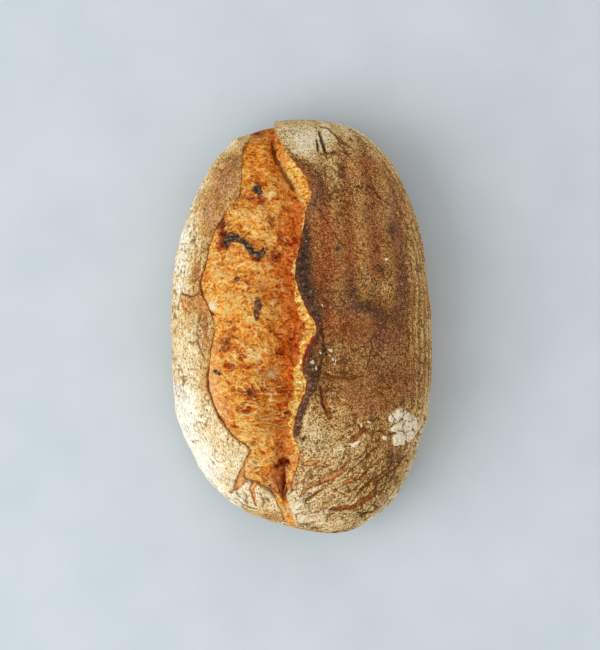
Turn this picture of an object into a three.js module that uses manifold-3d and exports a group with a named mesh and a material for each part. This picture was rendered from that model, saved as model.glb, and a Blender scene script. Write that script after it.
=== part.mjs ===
// An oval hearth loaf of onion bread, split along its length in the oven.
// A floury crust wraps a domed body with a flat base. Left of the middle the crust has burst open: the torn,
// browned crumb bulges out of the split, and on its right the crust stands up as a ragged ear. Roasted pieces
// of onion are baked into the crumb. The loaf is one solid.
//
// Frame, in millimetres: +Y along the loaf, +X across it towards the ear's side, +Z up, the origin under the
// middle of the loaf on the surface it rests on.
import * as THREE from "three";
import { mergeVertices } from "three/addons/utils/BufferGeometryUtils.js";
import Module from "manifold-3d";

// Driving dimensions
const LENGTH = 250;
const GIRTH_HEIGHT = 28; // height of the loaf's widest ring
const CROWN_HEIGHT = 82; // height of the domed body, without the ear
const CRUST_ROLL = 2.2; // how far the crust's edge stands over the crumb beside it
const LIP_WIDTH = 1.2; // how wide the step from the crumb up to that edge is
const EAR_WIDTH = 15; // how far from the rim the ear's lift dies away
const LEAST_GAP = 0.6; // what is left between the split's edges where it closes
const FAR_STEP = 3.5; // how far the split's crumb side falls short of the ear's side at the far end

// The body's plan: half width over the cosine of the station's angle, and the middle line's place across the
// loaf. Both are given at stations every 30 degrees from the near end to the far end.
const FULLNESS = [76, 90.5, 84.3, 78.5, 80.8, 93.5, 129];
const MIDDLE = [20.5, 6.8, 1.3, 0.5, 0.2, 1.3, -0.5];

// Section shape: powers of the sine and cosine, and how far past the base the rounded underside would reach
const SIDE_POWER = 0.92;
const TOP_POWER = 0.88;
const UNDER_POWER = 0.8;
const UNDER_REACH = 1.5;
const END_POWER = 0.68;

// The split, as [y, value] pairs along the loaf. RIM is the ear's edge, WALL the width of the torn wall below
// it, LIP the other side's crust edge, SINK the valley's depth at the wall's foot, LIFT the ear's height over
// the body, and BULGE how far the crumb swells over the body.
const RIM = [
  [-119, -2.7], [-108, -5.7], [-100, -8], [-92, -5.6], [-74, -0.5], [-62, -4.2], [-49, -2], [-34, 3.2],
  [-24, 1.6], [-14, 4.3], [-3, 8.9], [11, 2.9], [29, -2.9], [44, -0.9], [55, 1.4], [69, 3.7], [77, 6.6],
  [94, -2], [104, -9.7], [121, -15],
];
const WALL = [
  [-119, 2.4], [-100, 3], [-82, 9], [-72, 9], [-62, 4.5], [-49, 3.5], [-34, 5.5], [-21, 3], [-3, 7],
  [11, 4], [29, 2], [50, 2.2], [69, 4], [80, 9], [94, 11], [105, 6.5], [121, 2],
];
const LIP = [
  [-118, -10], [-101, -15], [-93.3, -22], [-89, -34], [-83, -33], [-73, -29.7], [-63, -40.8], [-48, -51],
  [-30, -55.2], [-14, -52.3], [0, -51], [14, -55.4], [24, -59], [38, -55.5], [50, -52.5], [68, -43],
  [77, -35.6], [104, -34], [117, -30.2],
];
const SINK = [[-118, 1.5], [-102, 5], [-92, 12], [-82, 12], [-68, 7], [-35, 10], [0, 10], [70, 8], [105, 6], [121, 4]];
const LIFT = [[-119, 0.5], [-75, 1], [-60, 3], [-35, 5], [30, 5], [77, 4.5], [105, 3], [121, 1.5]];
const BULGE = [[-118, -1], [-90, -3], [-74, -2], [-60, 1.5], [-35, 3.5], [0, 2], [60, 0], [100, -2], [121, -4]];

// The roasted onion in the crumb: where each piece lies, its length, width, heading in degrees and bend
const ONION = [
  { x: -36.5, y: 48.5, length: 13, width: 4.4, heading: 8, bend: 2.5 },
  { x: -26.5, y: 44.5, length: 12, width: 4, heading: -22, bend: -2 },
  { x: -24.5, y: 78.5, length: 5.4, width: 4.6, heading: -50, bend: 0 },
  { x: -23.8, y: 10.5, length: 14, width: 4, heading: 84, bend: 1.5 },
  { x: -36.5, y: 27.5, length: 5.6, width: 3.2, heading: 40, bend: 0 },
  { x: -46, y: -26, length: 5, width: 4, heading: -20, bend: 0 },
];
const ONION_THICKNESS = 3;

// How finely the surface is cut: rings along the loaf, then points on each stretch of a ring
const RINGS = 92;
const COUNTS = { base: 2, under: 4, earSide: 15, wall: 2, crumb: 20, lip: 1, heelSide: 8 };

// A value from [place, value] pairs, along a smooth curve that never swings past them
function along(pairs, at) {
  const last = pairs.length - 1;
  if (at <= pairs[0][0]) return pairs[0][1];
  if (at >= pairs[last][0]) return pairs[last][1];
  const k = pairs.findIndex(([place]) => place > at) - 1;
  const slope = (i) => (pairs[i + 1][1] - pairs[i][1]) / (pairs[i + 1][0] - pairs[i][0]);
  const tangent = (i) => {
    if (i === 0 || i === last) return 0;
    const [before, after] = [slope(i - 1), slope(i)];
    return before * after <= 0 ? 0 : (2 * before * after) / (before + after);
  };
  const step = pairs[k + 1][0] - pairs[k][0];
  const t = (at - pairs[k][0]) / step;
  return (
    pairs[k][1] * (1 + 2 * t) * (1 - t) ** 2 +
    pairs[k + 1][1] * t * t * (3 - 2 * t) +
    step * (tangent(k) * t * (1 - t) ** 2 - tangent(k + 1) * t * t * (1 - t))
  );
}

function smoothStep(low, high, at) {
  const t = Math.min(1, Math.max(0, (at - low) / (high - low)));
  return t * t * (3 - 2 * t);
}

const signedPower = (value, power) => Math.sign(value) * Math.abs(value) ** power;

// Smooth noise from -1 to 1, from a hash of the lattice points round a place
function latticeValue(i, j, k) {
  let h = Math.imul(i, 374761393) + Math.imul(j, 668265263) + Math.imul(k, 1440662683);
  h = Math.imul(h ^ (h >>> 13), 1274126177);
  return (((h ^ (h >>> 16)) >>> 0) / 4294967296) * 2 - 1;
}

function noise(x, y, z) {
  const [i, j, k] = [x, y, z].map(Math.floor);
  const [u, v, w] = [x - i, y - j, z - k].map((t) => t * t * (3 - 2 * t));
  let sum = 0;
  for (const [a, b, c] of [0, 1, 2, 3, 4, 5, 6, 7].map((n) => [n & 1, (n >> 1) & 1, n >> 2])) {
    sum += latticeValue(i + a, j + b, k + c) * (a ? u : 1 - u) * (b ? v : 1 - v) * (c ? w : 1 - w);
  }
  return sum;
}

// The loaf at one station along its length: angle runs from -90 degrees at the near end to 90 at the far end.
// The split is held as turns round the section: its rim, the foot of its wall and its lip.
function station(angle) {
  const degrees = THREE.MathUtils.radToDeg(angle);
  const everyThirty = (values) => along(values.map((value, i) => [i * 30 - 90, value]), degrees);
  const shrink = Math.max(Math.cos(angle), 1e-6);
  const s = {
    y: (LENGTH / 2) * Math.sin(angle),
    middle: everyThirty(MIDDLE),
    half: everyThirty(FULLNESS) * shrink,
    rise: (CROWN_HEIGHT - GIRTH_HEIGHT) * shrink ** END_POWER,
    drop: UNDER_REACH * GIRTH_HEIGHT * shrink ** END_POWER,
    short: FAR_STEP * smoothStep(0.8, 0.97, Math.sin(angle)),
  };
  const least = Math.min(LEAST_GAP / s.half, 0.08);
  const rimX = along(RIM, s.y);
  s.lip = turnAt(s, along(LIP, s.y));
  s.rim = Math.min(turnAt(s, rimX), s.lip - 3 * least);
  s.foot = THREE.MathUtils.clamp(turnAt(s, rimX - along(WALL, s.y)), s.rim + least, s.lip - 2 * least);
  s.open = smoothStep(2, 12, (s.lip - s.rim) * s.half);
  return s;
}

// A point on the body. turn is 0 at the widest place on the ear's side, 90 degrees on top and -90 below.
function bodyPoint(s, turn) {
  const x = s.middle + s.half * signedPower(Math.cos(turn), SIDE_POWER);
  const y = s.y - s.short * smoothStep(s.rim, s.foot, turn) * (1 - smoothStep(Math.PI, 1.4 * Math.PI, turn));
  const up = Math.sin(turn);
  const z =
    up >= 0
      ? GIRTH_HEIGHT + s.rise * up ** TOP_POWER
      : Math.max(0, GIRTH_HEIGHT - s.drop * (-up) ** UNDER_POWER);
  return new THREE.Vector3(x, y, z);
}

function bodyNormal(s, point) {
  const height = point.z - GIRTH_HEIGHT;
  return new THREE.Vector3(
    (point.x - s.middle) / (s.half * s.half),
    s.y / (LENGTH / 2) ** 2,
    height / (s.rise * s.rise),
  ).normalize();
}

// The turn at which the body's top is at this place across the loaf
function turnAt(s, x) {
  const share = THREE.MathUtils.clamp((x - s.middle) / s.half, -0.97, 0.97);
  return Math.acos(signedPower(share, 1 / SIDE_POWER));
}

// Crust: broad swells and the smaller dents of a hand-shaped loaf
function crustRelief(p) {
  return 1.1 * noise(p.x / 27, p.y / 27, p.z / 27) + 0.6 * noise(p.x / 11 + 7, p.y / 11, p.z / 11);
}

// Crumb: torn lumps, drawn out across the loaf the way the split pulled them
function crumbRelief(p) {
  return 1.5 * noise(p.x / 13, p.y / 9 + 3, 5) + 0.9 * noise(p.x / 6.5, p.y / 4.2, 9);
}

// How far the crumb's surface stands from the body, with share from 0 at the wall's foot to 1 at the lip
function crumbOffset(y, share) {
  const sunk = along(SINK, y) * (1 - smoothStep(0, 0.42, share));
  const tucked = CRUST_ROLL * smoothStep(0.86, 1, share);
  const swell = along(BULGE, y) * Math.sin(Math.PI * Math.min(1, 0.12 + share * 0.88)) ** 0.8;
  return swell - sunk - tucked;
}

// A point this far out from the body, along its normal
function raised(s, turn, offset) {
  const p = bodyPoint(s, turn);
  return p.addScaledVector(bodyNormal(s, p), offset);
}

function crustPoint(s, turn) {
  const p = bodyPoint(s, turn);
  const fromRim = (s.rim - turn) * s.half;
  const ear = turn > 0 && turn <= s.rim ? along(LIFT, s.y) * Math.exp(-((fromRim / EAR_WIDTH) ** 2)) : 0;
  return raised(s, turn, smoothStep(0, 10, p.z) * crustRelief(p) + ear * s.open);
}

// Where the split closes, the strip left between its edges takes the crust's surface
function crumbPoint(s, share) {
  const turn = s.foot + (s.lip - s.foot) * share;
  const p = bodyPoint(s, turn);
  const inside = smoothStep(0, 0.1, share) * (1 - smoothStep(0.9, 1, share));
  const torn = crumbOffset(s.y, share) + crumbRelief(p) * (0.4 + 0.6 * inside);
  return raised(s, turn, THREE.MathUtils.lerp(crustRelief(p), torn, s.open));
}

// One ring of the loaf, from the middle of the base up the ear's side, over the top and down the other side
function ring(s) {
  const contact = Math.asin(Math.min(0.96, (GIRTH_HEIGHT / s.drop) ** (1 / UNDER_POWER)));
  const edgeTurn = s.lip + Math.min(LIP_WIDTH / s.half, 0.1);
  const [rim, foot, tucked, edge] = [crustPoint(s, s.rim), crumbPoint(s, 0), crumbPoint(s, 1), crustPoint(s, edgeTurn)];
  const points = [];
  const stretch = (count, from, to, pointAt) => {
    for (let i = 0; i < count; i++) points.push(pointAt(from + ((to - from) * i) / count));
  };
  const crust = (turn) => crustPoint(s, turn);
  stretch(COUNTS.base, -Math.PI / 2, -contact, crust);
  stretch(COUNTS.under, -contact, 0, crust);
  stretch(COUNTS.earSide, 0, 1, (t) => crust(s.rim * (1 - (1 - t) ** 1.3)));
  stretch(COUNTS.wall, 0, 1, (t) => rim.clone().lerp(foot, t));
  stretch(COUNTS.crumb, 0, 1, (t) => crumbPoint(s, t));
  stretch(COUNTS.lip, 0, 1, (t) => tucked.clone().lerp(edge, t));
  stretch(COUNTS.heelSide, edgeTurn, Math.PI, crust);
  stretch(COUNTS.under, Math.PI, Math.PI + contact, crust);
  stretch(COUNTS.base, Math.PI + contact, (3 * Math.PI) / 2, crust);
  return points;
}

// The whole loaf: rings joined by quads, closed by a point at each end
function loafGeometry() {
  const rings = [];
  for (let i = 1; i < RINGS; i++) {
    const t = (2 * i) / RINGS - 1;
    rings.push(ring(station((Math.PI / 2) * (0.78 * t + 0.22 * t ** 3))));
  }
  const count = rings[0].length;
  const ends = [-1, 1].map((side) => {
    const s = station((side * Math.PI) / 2);
    return new THREE.Vector3(s.middle, s.y, GIRTH_HEIGHT);
  });
  const positions = [...rings.flat(), ...ends].flatMap((p) => p.toArray());
  const [near, far] = [rings.length * count, rings.length * count + 1];
  const index = [];
  for (let k = 0; k < count; k++) {
    const next = (k + 1) % count;
    index.push(near, k, next);
    for (let r = 0; r + 1 < rings.length; r++) {
      const [a, b] = [r * count, (r + 1) * count];
      index.push(a + k, b + k, b + next, a + k, b + next, a + next);
    }
    const top = (rings.length - 1) * count;
    index.push(far, top + next, top + k);
  }
  const geometry = new THREE.BufferGeometry();
  geometry.setAttribute("position", new THREE.Float32BufferAttribute(positions, 3));
  geometry.setIndex(index);
  return geometry;
}

// A curled strip of roasted onion, half sunk in the crumb where it lies
function onionGeometry({ x, y, length, width, heading, bend }) {
  const s = station(Math.asin((2 * y) / LENGTH));
  const place = crumbPoint(s, (turnAt(s, x) - s.foot) / (s.lip - s.foot));
  const geometry = new THREE.SphereGeometry(0.5, 8, 6);
  geometry.scale(length, width, ONION_THICKNESS);
  const position = geometry.getAttribute("position");
  for (let i = 0; i < position.count; i++) {
    const at = (2 * position.getX(i)) / length;
    position.setY(i, position.getY(i) + bend * at * at);
  }
  geometry.rotateZ(THREE.MathUtils.degToRad(heading));
  geometry.translate(place.x, place.y, place.z + 0.2);
  return geometry;
}

const wasm = await Module();
wasm.setup();

function solidFrom(geometry) {
  const bare = geometry.clone();
  bare.deleteAttribute("normal");
  bare.deleteAttribute("uv");
  const merged = mergeVertices(bare, 1e-4);
  return new wasm.Manifold(
    new wasm.Mesh({
      numProp: 3,
      vertProperties: new Float32Array(merged.getAttribute("position").array),
      triVerts: new Uint32Array(merged.index.array),
    }),
  );
}

function geometryFrom(solid) {
  const { vertProperties, triVerts } = solid.getMesh();
  const geometry = new THREE.BufferGeometry();
  geometry.setAttribute("position", new THREE.Float32BufferAttribute(vertProperties, 3));
  geometry.setIndex(new THREE.Uint32BufferAttribute(triVerts, 1));
  geometry.computeVertexNormals();
  return geometry;
}

// Moves a geometry so that the middle of its box is over the origin
function centred(geometry) {
  geometry.computeBoundingBox();
  const middle = geometry.boundingBox.getCenter(new THREE.Vector3());
  return geometry.translate(-middle.x, -middle.y, 0);
}

const pieces = [loafGeometry(), ...ONION.map(onionGeometry)].map(solidFrom);
const fused = pieces.reduce((whole, piece) => whole.add(piece));

const crust = new THREE.MeshStandardMaterial({ color: 0x9a6534, roughness: 0.85, metalness: 0 });
const loaf = new THREE.Mesh(centred(geometryFrom(fused)), crust);
loaf.name = "loaf";

const bread = new THREE.Group();
bread.add(loaf);

export default bread;
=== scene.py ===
"""An oval hearth loaf of onion bread, seen from above on a pale table.

The crust is two closed shells, one on each side of the split: the ear's side and the heel's side. The torn
crumb is a third piece that swells out of the split, and the roasted onion lies in it. All of them follow the
solid's own formulas, at a finer pitch. Places on the loaf are in millimetres, as seen from above: x across it
and y along it, from its middle. A seed picks the slice of the noise that a mark is cut from.
"""

import math
from functools import reduce
from types import SimpleNamespace

import bpy
import numpy as np
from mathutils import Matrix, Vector


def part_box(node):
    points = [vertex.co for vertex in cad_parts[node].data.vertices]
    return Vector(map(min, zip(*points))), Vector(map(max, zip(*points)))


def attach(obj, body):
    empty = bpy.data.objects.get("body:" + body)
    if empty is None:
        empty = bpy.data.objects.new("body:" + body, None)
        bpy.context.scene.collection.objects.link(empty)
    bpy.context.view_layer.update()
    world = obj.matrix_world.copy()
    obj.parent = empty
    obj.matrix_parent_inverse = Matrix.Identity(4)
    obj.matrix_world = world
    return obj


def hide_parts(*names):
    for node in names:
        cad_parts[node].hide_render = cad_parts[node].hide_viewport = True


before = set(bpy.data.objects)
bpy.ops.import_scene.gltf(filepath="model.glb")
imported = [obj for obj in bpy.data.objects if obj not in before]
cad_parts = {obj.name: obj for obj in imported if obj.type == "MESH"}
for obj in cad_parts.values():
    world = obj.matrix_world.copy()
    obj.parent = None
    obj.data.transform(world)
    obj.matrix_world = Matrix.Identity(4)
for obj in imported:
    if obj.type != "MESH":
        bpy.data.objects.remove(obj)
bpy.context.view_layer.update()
LOW, HIGH = (np.array(corner) * 1000 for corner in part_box("loaf"))
MM = 0.001

# ------------------------------------------------------------------ the loaf's shape, in millimetres
LENGTH = float(HIGH[1] - LOW[1])
GIRTH_HEIGHT = 28.0  # height of the loaf's widest ring
CROWN_HEIGHT = 82.0  # height of the domed body, without the ear
CRUST_ROLL = 2.2  # how far the crust's edge stands over the crumb beside it
EAR_WIDTH = 15.0  # how far from the rim the ear's lift dies away
FAR_STEP = 3.5  # how far the split's crumb side falls short of the ear's side at the far end
SHELL = 3.0  # thickness of the crust's shells
INNER_FLOOR = 0.6  # height of the shells' inner side where they lie on the table
CRUMB_DEPTH = 15.0  # how far the crumb reaches down below its surface
SPLIT_NEAR, SPLIT_FAR = -119.8, 124.4  # where the split closes at the near end, and where the crumb stops

# Plan of the body, every 30 degrees from the near end to the far end: half width over the cosine of the
# station's angle, and the middle line's place
FULLNESS = [76, 90.5, 84.3, 78.5, 80.8, 93.5, 129]
MIDDLE = [20.5, 6.8, 1.3, 0.5, 0.2, 1.3, -0.5]

# How full the body's sections are: a power of 1 is an ellipse, and less is fuller
SIDE_POWER = 0.92
TOP_POWER = 0.88
UNDER_POWER = 0.8
UNDER_REACH = 1.5  # how deep the underside's curve is before the table cuts it off, in girth heights
END_POWER = 0.68  # the same as the other powers, for how the sections' heights shrink towards the ends

# The split, as (y, value) pairs along the loaf: the ear's edge, the width of the torn wall below it, the edge
# of the other side's crust, the valley's depth at the wall's foot, the ear's lift and the crumb's swell
RIM = [
    (-119, -2.7), (-108, -5.7), (-100, -8), (-92, -5.6), (-74, -0.5), (-62, -4.2), (-49, -2), (-34, 3.2),
    (-24, 1.6), (-14, 4.3), (-3, 8.9), (11, 2.9), (29, -2.9), (44, -0.9), (55, 1.4), (69, 3.7), (77, 6.6),
    (94, -2), (104, -9.7), (121, -15),
]
WALL = [
    (-119, 2.4), (-100, 3), (-82, 9), (-72, 9), (-62, 5.5), (-49, 5.5), (-34, 7.5), (-21, 6.5), (-3, 8.5),
    (11, 5), (29, 2.5), (50, 2.6), (69, 4), (80, 9), (94, 11), (105, 6.5), (121, 2),
]
LIP = [
    (-118, -10), (-101, -15), (-93.3, -22), (-89, -34), (-83, -33), (-73, -29.7), (-63, -40.8), (-48, -51),
    (-30, -55.2), (-14, -52.3), (0, -51), (14, -55.4), (24, -59), (38, -55.5), (50, -52.5), (68, -43),
    (77, -35.6), (104, -34), (117, -30.2),
]
SINK = [
    (-118, 1.5), (-102, 5), (-92, 12), (-82, 12), (-68, 7), (-35, 10), (0, 10), (70, 8), (105, 6), (121, 4),
]
LIFT = [(-119, 0.5), (-75, 1), (-60, 3), (-35, 5), (30, 5), (77, 4.5), (105, 3), (121, 1.5)]
BULGE = [(-118, -1), (-90, -3), (-74, -2), (-60, 1.5), (-35, 3.5), (0, 2), (60, 0), (100, -2), (121, -4)]

# The proving basket's coils: one band's place and the bands' pitch, where the section's half width is
# FULL_HALF, and the pitches of the stripes down the two flanks
FULL_HALF, BAND_X, BAND_PITCH = 79, 38, 15.8
EAR_STRIPE_PITCH, HEEL_STRIPE_PITCH = 8.2, 5.6

# ------------------------------------------------------------------ marks on the crust
# Each crease is (path, width, depth, how much painted shade darkens its bottom, how much torn dough it shows)
EAR_CREASES = [
    ([(9.5, 110.5), (10, 106.5), (10, 102.5)], 1.3, 1.3, 1, 0),
    ([(11.5, 115.5), (12, 111), (13, 106), (14.5, 102.5)], 2.1, 1.8, 1, 0),
    ([(14.5, 102.5), (20, 102), (22.5, 100.5)], 1.1, 0.7, 0.7, 0.1),
    ([(11.5, 119.5), (16.5, 117), (20, 113.5), (22.5, 109), (24, 107.5)], 1.8, 0.9, 0.8, 0.2),
    ([(21.5, 113), (26, 107.5), (31.5, 104.5)], 1.5, 0.8, 0.6, 0),
    ([(28.5, 111.5), (31, 109)], 2.2, 0.8, 0.8, 0),
    ([(25, 103), (29, 101.5)], 1.6, 0.7, 0.9, 0),
    ([(10, 67.5), (14, 62), (19, 54), (22, 49), (26.5, 47)], 1, 0.7, 0.6, 0.1),
    ([(10.5, 74.5), (15.5, 68), (18.5, 64)], 0.8, 0.4, 0.4, 0),
    ([(32.5, 82.5), (35, 81), (37, 82)], 1.1, 0.8, 1, 0),
    ([(33.5, 80), (32.5, 78)], 0.9, 0.5, 0.7, 0),
    ([(39, 83.5), (43, 80), (46, 76.5), (49.5, 73.5), (53, 70.5)], 0.9, 0.6, 0.8, 0),
    ([(41.5, -7.5), (41.5, -13), (40.5, -18.5), (39, -23.5)], 0.9, 0.6, 0.7, 0),
    ([(44.5, -16), (40, -21.5)], 0.9, 0.5, 0.6, 0),
    ([(42, -13), (48.5, -19), (52, -23), (57, -24.5)], 0.9, 0.5, 0.3, 0.2),
    ([(13, -10), (14, -13.5), (15, -17.5)], 1.2, 0.9, 0.9, 0),
    ([(11.5, 1), (12.5, -6.5), (12.5, -13), (11, -26), (7.5, -42.5)], 1.8, 0.9, 0.75, 0.3),
    ([(12.5, -26.5), (21, -29.5), (31, -30), (37, -28.5)], 2.2, 0.8, 0.2, 0.75),
    ([(12, -37), (13.5, -44.5), (16, -49), (17, -53.5)], 3.6, 1.2, 0.3, 0.85),
    ([(11, -34), (12.6, -44.5), (15, -50)], 1, 0.9, 1, 0),
    ([(17.5, -56), (20, -60)], 1.5, 0.6, 0.3, 0.6),
    ([(25, -60), (29, -57.5), (33.5, -56.5)], 1.3, 0.8, 0.9, 0.2),
    ([(38, -58), (35, -62.5), (29.5, -67.5), (26.5, -69.5)], 4.2, 0.9, 0.2, 0.8),
    ([(1, -66), (2.5, -63)], 1.8, 1.2, 1, 0),
    ([(1, -80.5), (5.5, -79.5), (10.5, -78.5)], 3.2, 0.8, 0.1, 1),
    ([(-1, -100), (2.5, -95), (8.5, -92.5), (13, -90.5), (18.5, -87.5), (24, -86), (28, -82)],
     2.6, 0.9, 0.1, 1),
    ([(11, -91.5), (18.5, -87.8), (24, -86)], 4.6, 0.7, 0, 1),
    ([(24.5, -93), (29.5, -90.5), (33, -89)], 2.6, 0.7, 0.1, 0.9),
    ([(3, -105.5), (3.5, -102), (8, -99), (14, -95)], 1.8, 0.6, 0.3, 0.7),
    ([(17.5, -108), (26.5, -107.5), (32, -106.5), (37, -104), (41, -101.5), (45.5, -98)], 4, 1.4, 0.45, 0.8),
    ([(15, -115), (17, -111.5)], 1.4, 0.7, 0.7, 0.3),
    ([(33.5, -110.5), (37, -111), (41, -110.5), (45.5, -111)], 1.4, 0.9, 0.9, 0.2),
    ([(35.5, -96), (42.5, -90.5), (50, -85.5), (54, -81)], 1.8, 0.6, 0.5, 0.6),
    ([(43, -94), (49, -89), (57.5, -83), (65, -74)], 1.8, 0.7, 0.6, 0.6),
    ([(27, -87), (39, -76), (46.5, -69.5)], 1.6, 0.5, 0.4, 0.6),
    ([(31, -93.5), (38, -86), (46, -79), (52, -76)], 1.4, 0.5, 0.4, 0.5),
    ([(60.5, -51.5), (60, -58.5), (60.5, -62), (61.5, -66), (61, -69.5)], 1, 0.9, 0.9, 0),
    ([(52, -63.5), (56, -62), (60.5, -61.5)], 1, 0.9, 0.9, 0),
]
HEEL_CREASES = [
    ([(-61, 76), (-63, 64.5), (-63.5, 57), (-62.5, 50), (-59.5, 44.5), (-58.5, 42.5)], 1.5, 0.7, 0.6, 0.35),
    ([(-58.5, 42.5), (-53.5, 47), (-48.5, 52.5)], 1.7, 0.9, 0.6, 0.4),
    ([(-48.5, 52.5), (-50.5, 49.5), (-54.5, 48.5)], 0.9, 0.6, 0.4, 0.2),
    ([(-71.2, 22), (-69, 18.8), (-65.2, 17.8), (-61, 18.6), (-58.6, 21)], 1.9, 0.9, 0.4, 0.6),
    ([(-64, 33), (-63.5, 24)], 0.8, 0.4, 0.3, 0.1),
    ([(-70.9, 19.5), (-69.8, 16), (-67.8, 12), (-64.8, 8.5)], 2.8, 0.6, 0, 1),
    ([(-57.5, 9), (-59.4, 6), (-60.9, 2.7), (-60.6, -4), (-60, -10.3), (-58, -16.2), (-56, -19)],
     1.7, 1.1, 0.65, 0.5),
    ([(-60.5, -19), (-59, -23), (-58.5, -26)], 0.9, 0.5, 0.7, 0),
    ([(-67.5, -33.5), (-62, -34.5), (-56.5, -38)], 1, 0.5, 0.3, 0.5),
    ([(-38.3, -95.5), (-37.5, -98.5), (-36, -101.5)], 1, 1, 1, 0),
    ([(-39.5, -101.5), (-33, -106), (-25.5, -108)], 1.3, 0.9, 0.9, 0),
    ([(-24, -92), (-18.5, -95), (-15, -100)], 2.4, 1.6, 0.9, 0.2),
    ([(-20.5, -101), (-18, -103)], 1.5, 0.8, 0.8, 0),
    ([(-33.5, -96.5), (-31.5, -99), (-32, -103)], 1, 0.8, 0.8, 0),
    ([(-36.5, -106.5), (-31, -109.5)], 1.1, 0.8, 0.8, 0.1),
    ([(-23.5, -97.5), (-21.5, -103), (-22.5, -107)], 1.2, 0.9, 0.8, 0.1),
    ([(-35, -101), (-30.5, -104.5)], 0.9, 0.7, 0.8, 0),
]

# Thin raised edges with pale flour on them, as (path, width, height)
EAR_FOLDS = [
    ([(10.6, 115), (10.8, 110), (11.6, 105), (13.2, 102.4)], 1.3, 0.5),
    ([(13.6, 115), (14.6, 109), (16.2, 103.6)], 1.1, 0.4),
    ([(26.5, 47), (33, 45.6), (41, 45.2)], 1, 0.4),
    ([(22, 48), (19, 42), (17, 33)], 0.9, 0.3),
    ([(12, -24.4), (16, -26), (21, -28), (30, -28.4)], 1, 0.5),
    ([(13, -39), (19, -38.4), (25, -42.5), (29, -44)], 0.9, 0.4),
    ([(42, -11.6), (49, -17.6), (53, -22), (58, -23)], 0.9, 0.3),
    ([(16.4, -38), (18.4, -46), (19.4, -52)], 1, 0.4),
    ([(40, -60), (36, -65), (30, -70)], 1, 0.4),
    ([(-2, -102), (3, -97), (9, -94.4), (13, -92.4)], 1.1, 0.35),
    ([(14, -89), (20, -85.6), (26, -82.4)], 0.9, 0.3),
    ([(2, -108), (6, -103), (11, -99.5)], 1, 0.3),
    ([(40, -86), (47, -80.5), (53, -75)], 0.8, 0.2),
    ([(27, -81), (34, -75), (39, -71)], 0.8, 0.2),
    ([(17, -73.5), (22, -71.6), (26.5, -70.4)], 1, 0.4),
]
HEEL_FOLDS = [
    ([(-70.6, 24.5), (-68.4, 21.2), (-65, 20.2), (-61.4, 21), (-59.8, 25), (-58, 31), (-56, 38), (-53.6, 44)],
     1.2, 0.6),
    ([(-58.4, 44.4), (-54.2, 48.6), (-49.6, 53.6), (-48, 60)], 1.2, 0.6),
    ([(-54.5, 48.5), (-50.5, 49.5), (-48.5, 52.5)], 0.9, 0.4),
    ([(-64, 33), (-63.5, 24)], 0.9, 0.4),
    ([(-59.2, 4), (-59, -4), (-58.4, -10)], 1, 0.3),
    ([(-40, 92), (-41, 98), (-44.6, 104)], 1, 0.2),
]

# Tears that run into the crust from the crumb, as (path, half widths along it, depth)
HEEL_TEARS = [
    ([(-24, -76), (-31, -85), (-36, -91.5), (-41.5, -99)], [(0, 6), (0.4, 4.4), (0.75, 2.2), (1, 0.5)], 1.6),
    ([(-25, -88), (-28, -95), (-27.8, -100), (-26, -105.5)],
     [(0, 3), (0.35, 1.7), (0.7, 1.1), (1, 0.5)], 1.5),
]
EAR_TEARS = [
    ([(-7, -76), (-3, -77), (0.5, -76.5)], [(0, 3.5), (0.5, 2.6), (1, 0.8)], 0.8),
    ([(-7, -86), (-4.5, -90), (-5, -95)], [(0, 2), (0.5, 1.2), (1, 0.6)], 0.5),
]

# Soft patches, as (x, y, reach in x, reach in y, amount). The knuckle is a knob of crust at the far end.
EAR_FLOUR = [
    (-2, 113, 10, 8, 0.24), (6, 107, 9, 7, 0.2), (13, 113, 9, 6, 0.1), (-1, 101, 6, 5, 0.22),
    (6, 97, 6, 5, 0.2), (68, 18, 7, 32, 0.08), (25, 114, 9, 5, 0.08), (20, 84, 9, 15, 0.12),
    (-2, -104, 6, 12, 0.16), (10, -114, 16, 8, 0.12), (22, -98, 18, 12, 0.06), (45.5, 22.5, 8, 8, 0.2),
    (36, 28, 5, 9, 0.1), (62.5, -7.5, 8, 12, 0.08), (25, -14, 10, 6, 0.1), (14, 30, 12, 16, -0.1),
    (16, 52, 6, 12, -0.2), (7, -60, 10, 13, 0.2), (22, -72, 14, 9, 0.1), (38, -44, 10, 8, -0.12),
    (28, -44, 6, 8, -0.1), (34, 2, 20, 10, -0.16), (50, 62, 8, 14, -0.04), (24, -48, 6, 5, 0.12),
    (44, -40, 16, 16, -0.1), (60, 60, 10, 20, 0.05), (42, -80, 14, 10, -0.08), (56, -76, 12, 9, -0.16),
    (60, -58, 9, 10, 0.1), (40, -97, 10, 8, -0.08), (-2, -112, 5, 8, 0.08),
]
EAR_RED = [
    (15, 52, 5.5, 11, 1), (9, 30, 7, 10, 0.7), (22, 33, 12, 6, 0.7), (18, 2, 16, 10, 1), (42, -4, 13, 8, 0.8),
    (57, -14, 9, 12, 0.7), (33, 88, 9, 12, 0.35), (30, 54, 8, 10, 0.5), (27, 96, 10, 8, 0.4),
    (46, 92, 8, 9, 0.4), (34, -44, 10, 9, 0.6), (52, -80, 9, 8, 0.3), (56, 40, 8, 20, 0.4),
    (62, -30, 8, 10, 0.4), (50, -44, 10, 10, 0.5), (36, 60, 30, 40, 0.32),
]
EAR_CHAR = [
    (53.5, 57, 5, 6, 0.55), (21, 45, 2.2, 2.6, 0.8), (47.5, 34, 3.6, 3, 0.6), (60, 75.5, 2.4, 3.4, 0.45),
    (30, 20, 5, 5, 0.6), (37, 11.5, 8, 4.5, 0.75), (49, 6, 6, 5, 0.5), (57, 3, 4, 7, 0.35),
    (54, -90, 10, 7, 0.35), (13, 97, 4, 3, 0.15), (45, -66, 7, 4, 0.25),
]
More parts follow.
